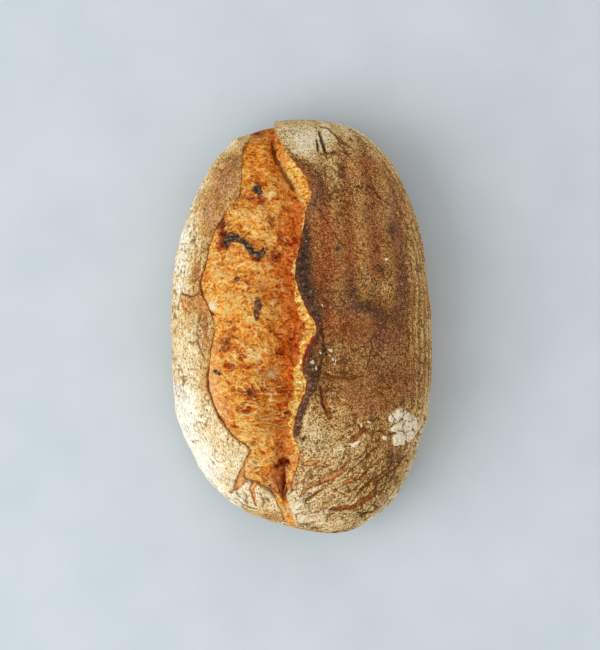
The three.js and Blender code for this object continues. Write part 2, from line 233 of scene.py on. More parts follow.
EAR_MAUVE = [
    (53, 66, 7, 16, 0.8), (36, 86, 6, 8, 0.5), (9, 76, 5, 14, 0.7), (60, 28, 6, 18, 0.6),
    (44, -8, 14, 10, 0.7), (52, -20, 9, 12, 0.6), (27, 12, 8, 8, 0.5), (13, 97, 5, 4, 0.6),
    (40, 8, 8, 5, 0.4), (38, -46, 7, 8, 0.6), (56, -76, 8, 6, 0.5), (4, 62, 4, 8, 0.5),
]
HEEL_FLOUR = [
    (-44, 84, 8, 13, -0.46), (-52, 71, 7.5, 8, -0.38), (-54, 58, 4.5, 8, -0.3), (-38, 98, 5, 9, -0.25),
    (-61.5, 31, 3, 7, -0.36), (-63.5, 13, 5.5, 7, -0.32), (-57, 12, 3, 13, -0.26), (-55, -2, 3, 16, -0.22),
    (-57, -32, 4, 9, -0.2), (-70, -56, 9, 22, 0.22), (-46, -68, 9, 8, -0.04), (-60, -82, 14, 12, 0.24),
    (-30, -111, 12, 3, -0.2), (-16, -114, 7, 3, -0.3), (-31, -97, 8, 7, 0.1), (-72, 62, 7, 36, 0.28),
    (-72, 20, 6, 30, 0.1), (-60, 99, 7, 14, 0.26), (-52, -60, 7, 9, -0.02), (-45, 112, 8, 7, 0.22),
]
HEEL_RED = [
    (-46, 88, 8, 12, 0.7), (-54, 69, 7, 10, 0.6), (-61.5, 31, 3.5, 8, 0.8), (-56, 4, 3.5, 18, 0.8),
    (-64, 18, 6, 8, 0.7), (-57, -34, 4, 8, 0.5), (-56, 20, 4, 10, 0.5), (-36, 104, 4, 6, 0.3),
    (-48, 48, 5, 5, 0.6),
]
HEEL_MAUVE = [
    (-42, 82, 5, 7, 0.9), (-51, 75, 5, 5, 0.5), (-55, 66, 4, 6, 0.8), (-38, 96, 4, 6, 0.5),
    (-62, 31, 2.4, 6, 0.4), (-57, -34, 3, 6, 0.3),
]
KNUCKLE = [(-37.5, 112, 5, 6, 1)]
# How much flour lies on each side of the crust at each y, and how browned the crust's edge is
EAR_DUST = [
    (-125, 0.68), (-100, 0.66), (-70, 0.59), (-45, 0.49), (-20, 0.39), (20, 0.32), (60, 0.35), (90, 0.42),
    (125, 0.68),
]
HEEL_DUST = [
    (-125, 0.72), (-95, 0.8), (-60, 0.82), (-30, 0.76), (10, 0.73), (60, 0.74), (100, 0.78), (125, 0.66),
]
EAR_EDGE = [
    (-75, 0.3), (-62, 0.4), (-45, 0.3), (-24, 0.6), (-8, 0.8), (10, 0.8), (20, 0.4), (60, 0.5), (90, 0.3),
]
HEEL_EDGE = [(-95, 0.5), (-70, 0.9), (-25, 0.8), (-15, 0.2), (55, 0.2), (60, 0.5), (70, 0.1)]
# Loose flour, as (x, y, reach in x, reach in y, height): a cracked cake, one oval chip and scattered flakes
FLOUR_CHIP = (57.6, -66.7)
FLOUR_CAKES = [
    (58, -55.5, 6.5, 7.5, 0.7), (64, -60, 5.5, 8, 0.6), (*FLOUR_CHIP, 4, 3.8, 1.3), (49.2, -65, 1.5, 1, 0.35),
    (12.5, 12, 0.8, 0.8, 0.4), (11, -15.5, 0.8, 0.8, 0.4), (17, -13.6, 1.6, 0.6, 0.3),
    (16.2, -16, 0.6, 1.6, 0.3), (19.5, -21, 0.6, 2, 0.3), (17.5, -19.5, 0.5, 1.4, 0.3),
    (50, 39, 1.3, 0.9, 0.4), (35.5, -57.5, 0.9, 1.4, 0.5), (40, -55.5, 1.4, 0.7, 0.4), (76, 43, 1.2, 3, 0.4),
    (6, -20.5, 1.5, 1.2, 0.24), (8.2, -23.5, 0.7, 1.6, 0.22),
]
FLOUR_STREAK = [(26.5, -69), (31, -68.5), (34.5, -66.5)]
# The fold beside the rim, the folded strip of dark crust, and the x of the red wedge's edge at each y
RIM_FOLD = [
    (-6, 103.5), (-4.5, 100), (-1.5, 96.5), (2.5, 94.5), (7.5, 90), (10, 87), (11, 84.5), (10, 76), (8, 68),
]
DARK_STRIP = [(7, -24), (7, -28.5), (5.5, -33.5), (3, -39.5), (1, -45.5), (-1, -53), (-3.5, -61.5)]
WEDGE_X = [(44, 29), (47, 26.5), (49, 22), (54, 19), (62, 14), (67.5, 10), (76, 6)]
# How wide the charred band along the rim is, at each y
CHAR_WIDTH = [
    (-30, 0), (-22, 3.4), (-8, 3.2), (0, 4.5), (10, 8), (21, 9.5), (37, 7.5), (50, 4.5), (60, 1.5), (66, 0),
]
# On the heel's side a second layer and a flap of crust overlap the first: the x of their edges at each y
LAYER_X = [(-30, -56), (-17, -56), (-9, -59), (0, -60), (5, -58), (10, -59), (20, -62), (30, -57)]
FLAP_X = [(40, -58.5), (45, -59.5), (50, -62), (57, -63.5), (65, -63), (76, -61), (84, -58)]

# ------------------------------------------------------------------ marks on the crumb
# The fold under the wall, lowered and darkened with painted shade, and soft patches as (x, y, reach in x,
# reach in y, amount)
GROOVE = [(-17, 115), (-16.5, 105.5), (-14, 97.5), (-10.5, 91), (-6.5, 85), (-4, 80), (-3.6, 77)]
CREAM = [
    (-13.5, 9, 6, 4, 0.5), (-18, -25, 5, 4, 0.6), (-21, 25, 6, 3.5, 0.5), (-46, 31, 5, 5, 0.6),
    (-28, -15, 4, 4, 0.5), (-13.5, -26, 4, 4, 0.4), (-50.8, 12, 2.5, 2.8, 2), (-8, 88, 4, 9, 0.5),
    (-36, -63, 6, 6, 0.5), (-26, -61, 10, 4, 0.45), (-4, -80, 4, 5, 0.5), (-8, -84, 2.6, 4, 0.7),
    (-27, -80, 6, 6, 0.75), (-18, -78, 5, 4, 0.5), (-8, -108, 4, 7, 0.9), (-16, 65, 7, 4.5, 0.5),
    (-45, 20, 7, 12, 0.25), (-27.5, 63.5, 3, 2.5, 0.6), (-22, 30, 16, 9, 0.15), (-25, -18, 1.4, 1.4, 1.4),
    (-23.5, -24.5, 2, 1, 1.2), (-17, -28, 3, 2, 0.9), (-9.5, 74, 3, 7, 0.3),
]
# brown patches, and painted shade among them: beside the pale bubble, in the holes and under the rim
BROWN_AND_SHADE = [
    (-25, 100, 14, 20, 0.35), (-25, 73, 11, 6, 0.42), (-46, 58, 3.2, 8, 1.4), (-44, 48, 4, 4, 1.5),
    (-38, 50, 6, 4, 0.5), (-24, 44, 5, 3, 0.5), (-43.5, -10, 6.5, 6.5, 1), (-28.5, -38, 4, 2.8, 1.7),
    (-53.8, 9.6, 1.4, 2.4, 2.2), (-52, 7.6, 2.4, 1.2, 1.9), (-14, -46, 12, 10, 0.35), (-38, 70, 4, 3, 0.8),
    (-10, 18, 5, 4, 0.2), (-9, -98, 2.6, 4.5, 1.6), (-13, -81.5, 2.6, 2, 1.4), (-10.5, -89, 2.2, 5, 0.9),
    (-4, 51, 3, 7, 0.4), (-20, 15, 9, 4, 0.25), (-40.5, -22, 2.4, 1.8, 1), (-35, -24, 4, 2.4, 0.7),
    (-18, -90, 6, 8, 0.15), (-28, 118, 12, 5, 0.9), (-30, -28, 10, 4, 0.2), (-8, -6, 4, 16, 0.4),
    (-6, 36, 3, 8, 0.4),
]
SKIN = [
    (-52, -33, 5.5, 9, 1), (-46.5, -50, 5.5, 8, 0.8), (-53, -14, 3.5, 8, 0.7), (-34, -88, 5, 6, 0.5),
    (-13, -92, 5, 7, 0.6),
]
BUBBLE = [(-50.8, 12, 2.4, 2.7, 1)]
# Deep holes, as (x, y, reach in x, reach in y, depth)
PITS = [
    (-13, -81.5, 3, 2.4, 5), (-9, -97.5, 3.2, 5, 6.5), (-10.5, -88, 2.6, 5, 3.6), (-28.5, -38, 3, 2, 1.6),
    (-45, 57, 2, 5, 2), (-24.5, -84, 3.6, 1, 2.4), (-21.5, -74, 2.4, 1.8, 2.8), (-16.5, -84, 1.4, 3, 2.4),
    (-37.5, 71, 2.8, 1.4, 1.8), (-40.5, -12, 2, 1.6, 1.2), (-42, -23, 2, 1.4, 1.4), (-53.6, 9, 1.6, 2.2, 2.4),
    (-10, 20, 4, 2, 0.8), (-8, 2, 3, 3, 2), (-10, -12, 3, 4, 2), (-24, 26, 7, 4, 1.2), (-13, 9, 6, 3.5, 1.2),
    (-18, -26, 4.5, 3, 1.2),
]
# The ledge of bright torn crumb under the rim at each y: its width, the width of the fall below it, how pale
# the torn crumb is, and how burnt the rim's underside is
LEDGE = [
    (-119, 0.6), (-75, 1.5), (-62, 2.2), (-49, 3.6), (-34, 5), (-24, 5.2), (-12, 6.4), (-3, 5.8), (5, 3.8),
    (11, 2.8), (29, 1.2), (60, 1), (75, 1.6), (92, 1), (121, 0.4),
]
FALL = [
    (-119, 2), (-92, 4), (-75, 5), (-60, 2.2), (-30, 2), (-3, 1.6), (29, 1.4), (55, 1.6), (66, 3), (78, 7),
    (96, 8), (110, 4), (121, 2),
]
FRESH = [
    (-119, 0.2), (-80, 0.45), (-60, 0.7), (-48, 0.9), (-20, 1), (-3, 1), (12, 0.8), (29, 0.7), (60, 0.6),
    (76, 1), (90, 0.9), (98, 0.5), (106, 0.1),
]
BURNT = [
    (-70, 0.1), (-60, 0.3), (-48, 0.1), (-30, 0.1), (-24, 0.6), (-20, 1), (-8, 1), (-2, 0.3), (8, 0.3),
    (14, 0.1), (40, 0.1), (50, 0.7), (58, 0.2), (70, 0.1), (82, 0.6), (90, 0),
]
# How open the dark gap between the heel's crust and the crumb is, at each y
GAP = [
    (-119, 0.8), (-92, 0.9), (-70, 1), (-30, 1), (-18, 0.5), (0, 0.35), (48, 0.3), (60, 0.6), (70, 0.25),
    (100, 0.25), (121, 0.6),
]
# The crumb runs on under the heel's crust: how far beyond the lip, how deep, and at what shares of the way
TUCK_REACH, TUCK_DEPTH, TUCK_STEPS = 2.6, 3.2, [0.35, 0.7, 1.0]

# ------------------------------------------------------------------ roasted onion
# Each strip is (path, widths along it, thickness, degrees that it turns through, how brown it is)
ONION_STRIPS = {
    "onion_twist": (
        [(-43.5, 46), (-42.5, 50), (-39.5, 52.6), (-36, 51), (-32.5, 49), (-30.5, 46), (-27.5, 43.2),
         (-23, 42), (-21, 45.5)],
        [3.4, 5.6, 5.4, 3.2, 2.4, 3.6, 5.0, 5.4, 2.4], 2.4, 140, 0.0,
    ),
    "onion_strip": ([(-25.4, 17), (-24.8, 13), (-25.0, 8), (-25.6, 3)], [3.4, 4.4, 4.0, 1.6], 1.4, 15, 1.0),
    "onion_dot": ([(-27.6, 81.4), (-25, 79.4), (-23.2, 77.0)], [2.8, 4.8, 3.2], 2.4, 20, 0.0),
    "onion_chip": ([(-38.3, 26.3), (-36.8, 27.6), (-34.8, 28.8)], [1.2, 2.8, 1.2], 1.4, 50, 0.9),
    "onion_shred": ([(-50.6, -25.6), (-48.4, -26.8), (-46.6, -28.4)], [1.4, 2.8, 1.6], 1.2, 25, 0.4),
}
ONION_RINGS, ONION_SIDES = 90, 36
SMOOTHING_PASSES = 6

# ------------------------------------------------------------------ how fine the meshes are
CRUST_RINGS, FINE = 430, 1.0
CRUMB_RINGS = int(610 * FINE)
WALL_COLUMNS = int(34 * FINE)
CRUMB_COLUMNS = int(112 * FINE)
INNER_COLUMNS = 14  # of a crust's inner side
UNDER_COLUMNS = 8  # of the crumb's underside


# ------------------------------------------------------------------ curves and noise
def along(pairs, at):
    """A value from (place, value) pairs, along a smooth curve that never swings past them."""
    places, values = np.array(pairs, float).T
    step = np.diff(places)
    slope = np.diff(values) / step
    before, after = slope[:-1], slope[1:]
    both = before + after
    tangent = np.zeros(len(places))
    tangent[1:-1] = np.where(before * after > 0, 2 * before * after / np.where(both == 0, 1, both), 0)
    k = np.clip(np.searchsorted(places, at, side="right") - 1, 0, len(step) - 1)
    t = np.clip((at - places[k]) / step[k], 0, 1)
    bend = tangent[k] * t * (1 - t) ** 2 - tangent[k + 1] * t * t * (1 - t)
    return values[k] * (1 + 2 * t) * (1 - t) ** 2 + values[k + 1] * t * t * (3 - 2 * t) + step[k] * bend


def smooth_step(low, high, at):
    t = np.clip((at - low) / (high - low), 0, 1)
    return t * t * (3 - 2 * t)


def window(start, full, fading, end, at):
    """Rises from start to full, stays at 1, and falls from fading to end."""
    return smooth_step(start, full, at) * smooth_step(end, fading, at)


def hill(distance, reach):
    """1 at no distance, dying away over about this reach."""
    return np.exp(-((distance / reach) ** 2))


def mix(a, b, t):
    return a + (b - a) * t


def largest(*values):
    return reduce(np.maximum, values)


def signed_power(value, power):
    return np.sign(value) * np.abs(value) ** power


def lattice(i, j, k):
    """A value from -1 to 1 for each lattice point."""
    h = (i * 374761393 + j * 668265263 + k * 1440662683).astype(np.uint32)
    h = (h ^ (h >> np.uint32(13))) * np.uint32(1274126177)
    return (h ^ (h >> np.uint32(16))) / 2147483648.0 - 1


def noise(x, y, z):
    """Smooth noise from -1 to 1, from a hash of the lattice points round a place."""
    x, y, z = np.broadcast_arrays(x, y, z)
    i, j, k = (np.floor(c).astype(np.int64) for c in (x, y, z))
    u, v, w = (t * t * (3 - 2 * t) for t in (x - i, y - j, z - k))
    total = np.zeros(x.shape)
    for corner in range(8):
        a, b, c = corner & 1, corner >> 1 & 1, corner >> 2
        share = (u if a else 1 - u) * (v if b else 1 - v) * (w if c else 1 - w)
        total += lattice(i + a, j + b, k + c) * share
    return total


def noise_over(x, y):
    """Noise over these places in plan. It is called with its size in mm, its seed, and its length along the
    loaf where that differs from its size."""
    return lambda size, seed, length=None: noise(x / size, y / (length or size), seed)


def solid_noise(p, size, shift=0, length=None):
    """Noise in space, with its size in mm, a shift that picks another part of it, and its length along the
    loaf where that differs from its size."""
    return noise(p[..., 0] / size + shift, p[..., 1] / (length or size), p[..., 2] / size)


def shaken(x, y, *waves):
    """Places that noise has moved about, from (amount, size, seed for x, seed for y) waves."""
    moved_x, moved_y = x, y
    for amount, size, seed_x, seed_y in waves:
        moved_x = moved_x + amount * noise(x / size, y / size, seed_x)
        moved_y = moved_y + amount * noise(x / size, y / size, seed_y)
    return moved_x, moved_y


def cells(x, y, z, seed):
    """Scattered cells: each place's distance to the next cell's wall, and its own cell's random value."""
    x, y, z = np.broadcast_arrays(x, y, z)
    i, j, k = (np.floor(c).astype(np.int64) for c in (x, y, z))
    nearest = np.full(x.shape, 9.0)
    second = np.full(x.shape, 9.0)
    own = np.zeros(x.shape)
    for n in range(27):
        a, b, c = i + n % 3 - 1, j + n // 3 % 3 - 1, k + n // 9 - 1
        dx = a + 0.5 + 0.45 * lattice(a, b, c + seed) - x
        dy = b + 0.5 + 0.45 * lattice(a, b, c + seed + 101) - y
        dz = c + 0.5 + 0.45 * lattice(a, b, c + seed + 211) - z
        far = np.sqrt(dx * dx + dy * dy + dz * dz)
        closer = far < nearest
        second = np.where(closer, nearest, np.minimum(second, far))
        own = np.where(closer, lattice(a, b, c + seed + 307), own)
        nearest = np.where(closer, far, nearest)
    return second - nearest, own


def near_path(x, y, path):
    """How far each place is from a path, and how far along the path its nearest point is, from 0 to 1."""
    points = np.array(path, float)
    lengths = np.hypot(*np.diff(points, axis=0).T)
    walked = np.concatenate([[0], np.cumsum(lengths)])
    distance = np.full(x.shape, 1e6)
    fraction = np.zeros(x.shape)
    for n, length in enumerate(lengths):
        (ax, ay), (bx, by) = points[n], points[n + 1]
        t = np.clip(((x - ax) * (bx - ax) + (y - ay) * (by - ay)) / length**2, 0, 1)
        d = np.hypot(x - mix(ax, bx, t), y - mix(ay, by, t))
        closer = d < distance
        distance = np.where(closer, d, distance)
        fraction = np.where(closer, (walked[n] + t * length) / walked[-1], fraction)
    return distance, fraction


def patches(x, y, blobs):
    """The sum of soft oval patches."""
    total = np.zeros(x.shape)
    for bx, by, rx, ry, amount in blobs:
        total += amount * np.exp(-(((x - bx) / rx) ** 2) - ((y - by) / ry) ** 2)
    return total


# ------------------------------------------------------------------ the loaf's surface
def stations(angle):
    """The loaf's sections at these angles, -90 degrees at the near end and 90 at the far end, as columns."""
    s = SimpleNamespace()
    shrink = np.maximum(np.cos(angle), 1e-4)
    table_angles = [n * 30 - 90 for n in range(7)]
    s.y = LENGTH / 2 * np.sin(angle)
    s.middle = along(list(zip(table_angles, MIDDLE)), np.degrees(angle))
    s.half = along(list(zip(table_angles, FULLNESS)), np.degrees(angle)) * shrink
    s.rise = (CROWN_HEIGHT - GIRTH_HEIGHT) * shrink**END_POWER
    s.drop = UNDER_REACH * GIRTH_HEIGHT * shrink**END_POWER
    s.short = FAR_STEP * smooth_step(0.8, 0.97, np.sin(angle))
    ragged = 0.7 * noise(s.y / 3.1, 0.5, 7.5) + 0.45 * noise(s.y / 1.3, 0.5, 3.5)
    fray = 0.5 * noise(s.y / 3.7, 8.5, 7.5) + 0.3 * noise(s.y / 1.5, 9.5, 3.5)
    rim_x = along(RIM, s.y) + 1.3 * ragged
    tail = np.sqrt(np.clip((s.y - SPLIT_NEAR) / 6, 0, 1))
    s.lip = turn_at(s, mix(rim_x, along(LIP, s.y) + fray, tail))
    s.rim = np.minimum(turn_at(s, rim_x), s.lip)
    s.foot = np.clip(turn_at(s, rim_x - along(WALL, s.y)), s.rim, s.lip)
    s.open = smooth_step(2, 12, (s.lip - s.rim) * s.half)
    for name, value in vars(s).items():
        setattr(s, name, value[:, None])
    return s


def turn_at(s, x):
    """The turn round the section at which the body's top is at this place across the loaf."""
    share = np.clip((x - s.middle) / s.half, -0.97, 0.97)
    return np.arccos(signed_power(share, 1 / SIDE_POWER))


def body(s, turn):
    """Places on the body, and the directions that point out of it there."""
    up = np.sin(turn)
    left = smooth_step(s.rim, s.foot + 1e-3, turn) * (1 - smooth_step(math.pi, 1.4 * math.pi, turn))
    x = s.middle + s.half * signed_power(np.cos(turn), SIDE_POWER)
    y = s.y - s.short * left
    over = GIRTH_HEIGHT + s.rise * np.maximum(up, 0) ** TOP_POWER
    under = GIRTH_HEIGHT - s.drop * np.maximum(-up, 0) ** UNDER_POWER
    z = np.where(up >= 0, over, np.maximum(under, 0))
    slope_y = np.broadcast_to(s.y / (LENGTH / 2) ** 2, x.shape)
    out = np.stack([(x - s.middle) / s.half**2, slope_y, (z - GIRTH_HEIGHT) / s.rise**2], axis=-1)
    return np.stack([x, y, z], axis=-1), out / np.linalg.norm(out, axis=-1, keepdims=True)


def crust_relief(p):
    return 1.1 * solid_noise(p, 27) + 0.6 * solid_noise(p, 11, 7)


def crumb_relief(p):
    x, y = p[..., 0], p[..., 1]
    return 1.5 * noise(x / 13, y / 9 + 3, 5) + 0.9 * noise(x / 6.5, y / 4.2, 9)


def crumb_offset(y, share):
    """How far the crumb stands from the body, with share from 0 at the wall's foot to 1 at the lip."""
    sunk = along(SINK, y) * (1 - smooth_step(0, 0.42, share))
    tucked = CRUST_ROLL * along(GAP, y) * smooth_step(0.86, 1, share)
    swell = along(BULGE, y) * np.sin(math.pi * np.minimum(1, 0.12 + share * 0.88)) ** 0.8
    return swell - sunk - tucked


def ear_lift(s, turn):
    return np.where(turn > 0, along(LIFT, s.y) * hill((s.rim - turn) * s.half, EAR_WIDTH) * s.open, 0)


def normals_of(p):
    """Directions out of a grid of places, from its neighbours along and across."""
    out = np.cross(np.gradient(p, axis=0), np.gradient(p, axis=1))
    return out / np.maximum(np.linalg.norm(out, axis=-1, keepdims=True), 1e-9)


# ------------------------------------------------------------------ the crust's relief and tones
def crease_marks(x, y, creases):
    """What the creases do to the surface: how much they lower it, how much painted shade darkens them, and
    how torn they are.
    """
    sunk, crease_shade, torn = np.zeros(x.shape), np.zeros(x.shape), np.zeros(x.shape)
    shaken_x, shaken_y = shaken(x, y, (0.7, 3, 1.5, 5.5), (0.35, 1.1, 2.5, 6.5))
    for path, width, depth, bottom_shade, tear in creases:
        distance, fraction = near_path(shaken_x, shaken_y, path)
        taper = 0.3 + 0.7 * np.sqrt(np.maximum(np.sin(math.pi * fraction), 0))
        reach = distance / (0.5 * width * taper)
        inside = 1 - smooth_step(0.45, 1.25, reach)
        sunk += depth * inside - 0.22 * depth * hill(reach - 1.7, 0.6)
        # painted shade in the crease's bottom
        crease_shade = np.maximum(crease_shade, bottom_shade * inside * (1 - 0.5 * tear))
        torn = np.maximum(torn, tear * inside)
    return sunk, crease_shade, torn


def tear_marks(x, y, tears):
    """How deep the torn dough lies where it runs into the crust, and where it does, from 0 to 1."""
    sunk, torn = np.zeros(x.shape), np.zeros(x.shape)
    shaken_x, shaken_y = shaken(x, y, (1.0, 3.4, 41.5, 45.5), (0.5, 1.3, 42.5, 46.5))
    for path, half_widths, depth in tears:
        distance, fraction = near_path(shaken_x, shaken_y, path)
        inside = 1 - smooth_step(-0.3, 0.35, distance - along(half_widths, fraction))
        sunk = np.maximum(sunk, depth * inside)
        torn = np.maximum(torn, inside)
    return sunk, torn


def fold_marks(x, y, folds):
    """How much the folds raise the surface, and how much pale flour lies on them."""
    raised, pale = np.zeros(x.shape), np.zeros(x.shape)
    shaken_x, shaken_y = shaken(x, y, (0.8, 3, 11.5, 15.5), (0.3, 1.1, 12.5, 16.5))
    for path, width, height in folds:
        distance, fraction = near_path(shaken_x, shaken_y, path)
        taper = 0.35 + 0.65 * np.sqrt(np.maximum(np.sin(math.pi * fraction), 0))
        crest = hill(distance, 0.6 * width * taper)
        raised = np.maximum(raised, height * crest)
        pale = np.maximum(pale, crest * min(1, height / 0.5))
    return raised, pale


def crackle(x, y, z):
    """Fine branching cracks, from 0 to 1."""
    shaken_x, shaken_y = shaken(x, y, (1.2, 3.5, z + 21.5, z + 25.5))
    lines = smooth_step(0.84, 0.97, 1 - 1.3 * np.abs(noise(shaken_x / 4.0, shaken_y / 3.4, z + 31.5)))
    return lines * smooth_step(-0.15, 0.35, noise(x / 8, y / 8, z + 35.5))


def worms(across, y, z, width, length, level):
    """Short dark pits that run along the loaf, from 0 to 1."""
    bent = across + 0.8 * noise(across / 4, y / 5, z + 3.5)
    return smooth_step(level, level + 0.22, noise(bent / width, y / length, z + 0.5))


def coil_marks(s, x, y, turn):
    """The proving basket's marks on the ear's side: broad bands on the top, and stripes down the flank."""
    across = turn * s.half
    lane = x / np.sqrt(s.half / FULL_HALF)
    drift = 2.4 * noise(y / 38, across / 20, 4.5) + 0.8 * noise(y / 11, across / 9, 7.5)
    bands = np.cos(2 * math.pi * (lane - BAND_X + drift) / BAND_PITCH) * smooth_step(0.35, 0.6, turn)
    bands = bands * (0.15 + 0.85 * smooth_step(-35, 30, y)) * smooth_step(8, 16, lane)
    stripes = np.cos(2 * math.pi * (across + 1.2 * drift) / EAR_STRIPE_PITCH)
    stripes = stripes * window(-0.6, 0, 0.55, 0.8, turn)
    stripes = stripes * (0.3 + 0.7 * smooth_step(-90, -30, y)) * (0.8 + 0.5 * noise(x / 7, y / 18, 3.5))
    return bands, stripes


def fan_marks(x, y, top):
    """Wrinkles and short slashes that fan out over the near end, each from 0 to 1."""
    u, v = 0.80 * x + 0.60 * y, -0.60 * x + 0.80 * y
    v = v + 1.6 * noise(x / 9, y / 9, 2.5) - 0.012 * (u + 40) ** 2
    fan = smooth_step(0.80, 0.97, 1 - np.abs(noise(u / 15, v / 2.0, 4.5)) * 2.2)
    fan = fan * smooth_step(-0.5, 0.1, noise(x / 9, y / 9, 12.5))
    fan = fan * smooth_step(-62, -76, y) * smooth_step(8, 24, x) * top
    slashes = smooth_step(0.28, 0.5, noise(u / 3.2, v / 1.0, 6.5))
    return fan, slashes * smooth_step(-50, -75, y) * smooth_step(-2, 8, x) * top


def flour_marks(x, y, ragged_x, ragged_y, turn):
    """How thick the loose flour lies in mm, and where the cake of it is broken, from 0 to 1."""
    cake = np.zeros(x.shape)
    for cx, cy, rx, ry, height in FLOUR_CAKES:
        reach = np.hypot((ragged_x - cx) / rx, (ragged_y - cy) / ry)
        cake = np.maximum(cake, height * (1 - smooth_step(0.75, 1.1, reach)))
    streak, _ = near_path(ragged_x, ragged_y, FLOUR_STREAK)
    cake = np.maximum(cake, 0.4 * (1 - smooth_step(0.3, 1.0, streak))) * smooth_step(-0.3, -0.1, turn)
    flaw, _ = cells(ragged_x / 6.6, ragged_y / 6.0, 0.5, 61)
    off_chip = smooth_step(0.9, 1.2, np.hypot((x - FLOUR_CHIP[0]) / 4.4, (y - FLOUR_CHIP[1]) / 4.2))
    broken = smooth_step(0.10, 0.03, flaw) * np.clip(cake / 0.4, 0, 1) * smooth_step(45, 50, x) * off_chip
    return cake, broken


def ear_side(s, turn):
    """The crust on the ear's side: places, directions out of it and tones."""
    p, out = body(s, turn)
    upper = smooth_step(0, 10, p[..., 2])
    x, y, z = (p[..., n] for n in range(3))
    grain = noise_over(x, y)
    top = smooth_step(0, 0.25, turn)
    bottom = smooth_step(-0.1, -0.5, turn)
    sunk, crease_shade, torn = crease_marks(x, y, EAR_CREASES)
    opened, bare = tear_marks(x, y, EAR_TEARS)
    raised, pale = fold_marks(x, y, EAR_FOLDS)
    bands, stripes = coil_marks(s, x, y, turn)
    fan, slashes = fan_marks(x, y, top)
    ragged_x, ragged_y = shaken(x, y, (1.3, 3.2, 3.5, 8.5), (0.5, 1.0, 5.5, 9.5))
    cake, broken = flour_marks(x, y, ragged_x, ragged_y, turn)
    cake = cake * (1 - 0.9 * crease_shade) * (1 - 0.95 * broken)
    # painted shade in the cracks of the flour cake
    crease_shade = np.maximum(crease_shade, 0.5 * broken)
    # the distances to the rim, to the fold beside it and to the folded dark strip
    rim_gap = (s.rim - turn) * s.half
    fold_gap, _ = near_path(ragged_x, ragged_y, RIM_FOLD)
    strip_gap, _ = near_path(ragged_x, ragged_y, DARK_STRIP)
    strip = 1 - smooth_step(2.0, 3.1, strip_gap)
    fold = hill(fold_gap, 0.6) * smooth_step(0, 1, rim_gap)
    pits = worms(turn * s.half, y, z / 6, 1.3, 1.7, 0.42) * (1 - 0.75 * smooth_step(88, 100, y))
    cracks = np.maximum(crackle(x, y, z / 9), crackle(1.7 * x + 9, 1.7 * y, z / 9) * smooth_step(10, -25, y))
    cracks = cracks * smooth_step(-0.4, 0.2, turn)
    lumps = 0.26 * solid_noise(p, 2.4, 5) + 0.2 * solid_noise(p, 1.0)
    offset = upper * (crust_relief(p) + lumps - 0.35 * pits - 0.3 * cracks + 0.45 * bands + 0.35 * stripes)
    offset += ear_lift(s, turn)
    offset += top * (cake + raised - 1.3 * sunk - opened - 0.5 * fold - 0.5 * fan - 0.3 * slashes)
    offset += top * 0.5 * strip * (1 + 0.6 * noise(x / 1.6, y / 3, 2.5))
    offset -= 1.3 * np.exp(-rim_gap / 0.6) * s.open  # the edge rounds over towards the wall
    p = p + out * offset[..., None]

    flour = along(EAR_DUST, y) + patches(x, y, EAR_FLOUR) * top
    flour += 0.07 * bands + 0.14 * stripes + 0.3 * pale * top
    flour += 0.07 * grain(16, 6.5) + 0.05 * grain(6, 2.5) + 0.2 * smooth_step(0.75, 0.2, turn)
    flour = np.minimum(flour, 0.88) - 0.3 * fan - 0.1 * pits - 0.2 * cracks
    flour += 0.12 * hill(strip_gap - 4.2, 0.8) * smooth_step(-30, -40, y)
    bake = 0.52 + 0.07 * bands + 0.10 * grain(14, 1.5, 20) + 0.10 * grain(5, 3.5)
    bake += 0.06 * smooth_step(-30, -75, y) + 0.1 * smooth_step(0.8, 0.2, turn)
    char_width = along(CHAR_WIDTH, y) * (1 + 0.25 * noise(y / 5, 1.5, 2.5))
    char_band = 1 - smooth_step(0.1, 1.5, rim_gap / np.maximum(char_width, 0.05))
    char = np.maximum(patches(x, y, EAR_CHAR) * top, char_band * smooth_step(0, 1.5, char_width))
    char = np.clip(char, 0, 1)
    inner = smooth_step(8.5, 5, rim_gap) * window(60, 78, 96, 101, y) * smooth_step(0.0, 1.5, fold_gap)
    red = np.clip(patches(x, y, EAR_RED) - 0.22 * bands + 0.45 * grain(11, 9.5), 0, 1) * top
    wedge = smooth_step(0.5, -0.5, ragged_x - along(WEDGE_X, y)) * window(44, 50, 64, 74, y)
    wedge = wedge * smooth_step(4, 9, ragged_x)
    mauve = patches(x, y, EAR_MAUVE) - 0.25 * bands * smooth_step(-20, 10, y) + 0.4 * grain(12, 29.5, 15)
    tones = {
        "bake": mix(bake - 0.06 * inner - 0.10 * fan, 0.4 + 0.2 * grain(9, 1.5), bottom),
        "red": largest(red, 0.9 * wedge, 0.2 * inner) * (1 - bottom),
        "flour": mix(flour - 0.22 * inner - 0.25 * char - 0.5 * strip, 0.42 + 0.15 * grain(12, 1.5), bottom),
        "char": np.maximum(char, 0.8 * strip) * (1 - bottom),
        "purple": strip,
        "mauve": np.clip(mauve, 0, 1) * top * (1 - bottom),
        # painted shade in the creases, the fine cracks and the fold beside the rim
        "crease_shade": largest(crease_shade, 0.4 * cracks, 0.75 * fold),
        "pit": largest(0.6 * pits * top, 0.4 * cracks, 0.7 * slashes, 0.5 * fan),
        "torn": largest(torn * top, bare * top, 0.35 * fan),
        "edge": hill(rim_gap, 1.3) * along(EAR_EDGE, y) * s.open,
        "white": np.clip(cake / 0.3, 0, 1),
    }
    return p, out, tones


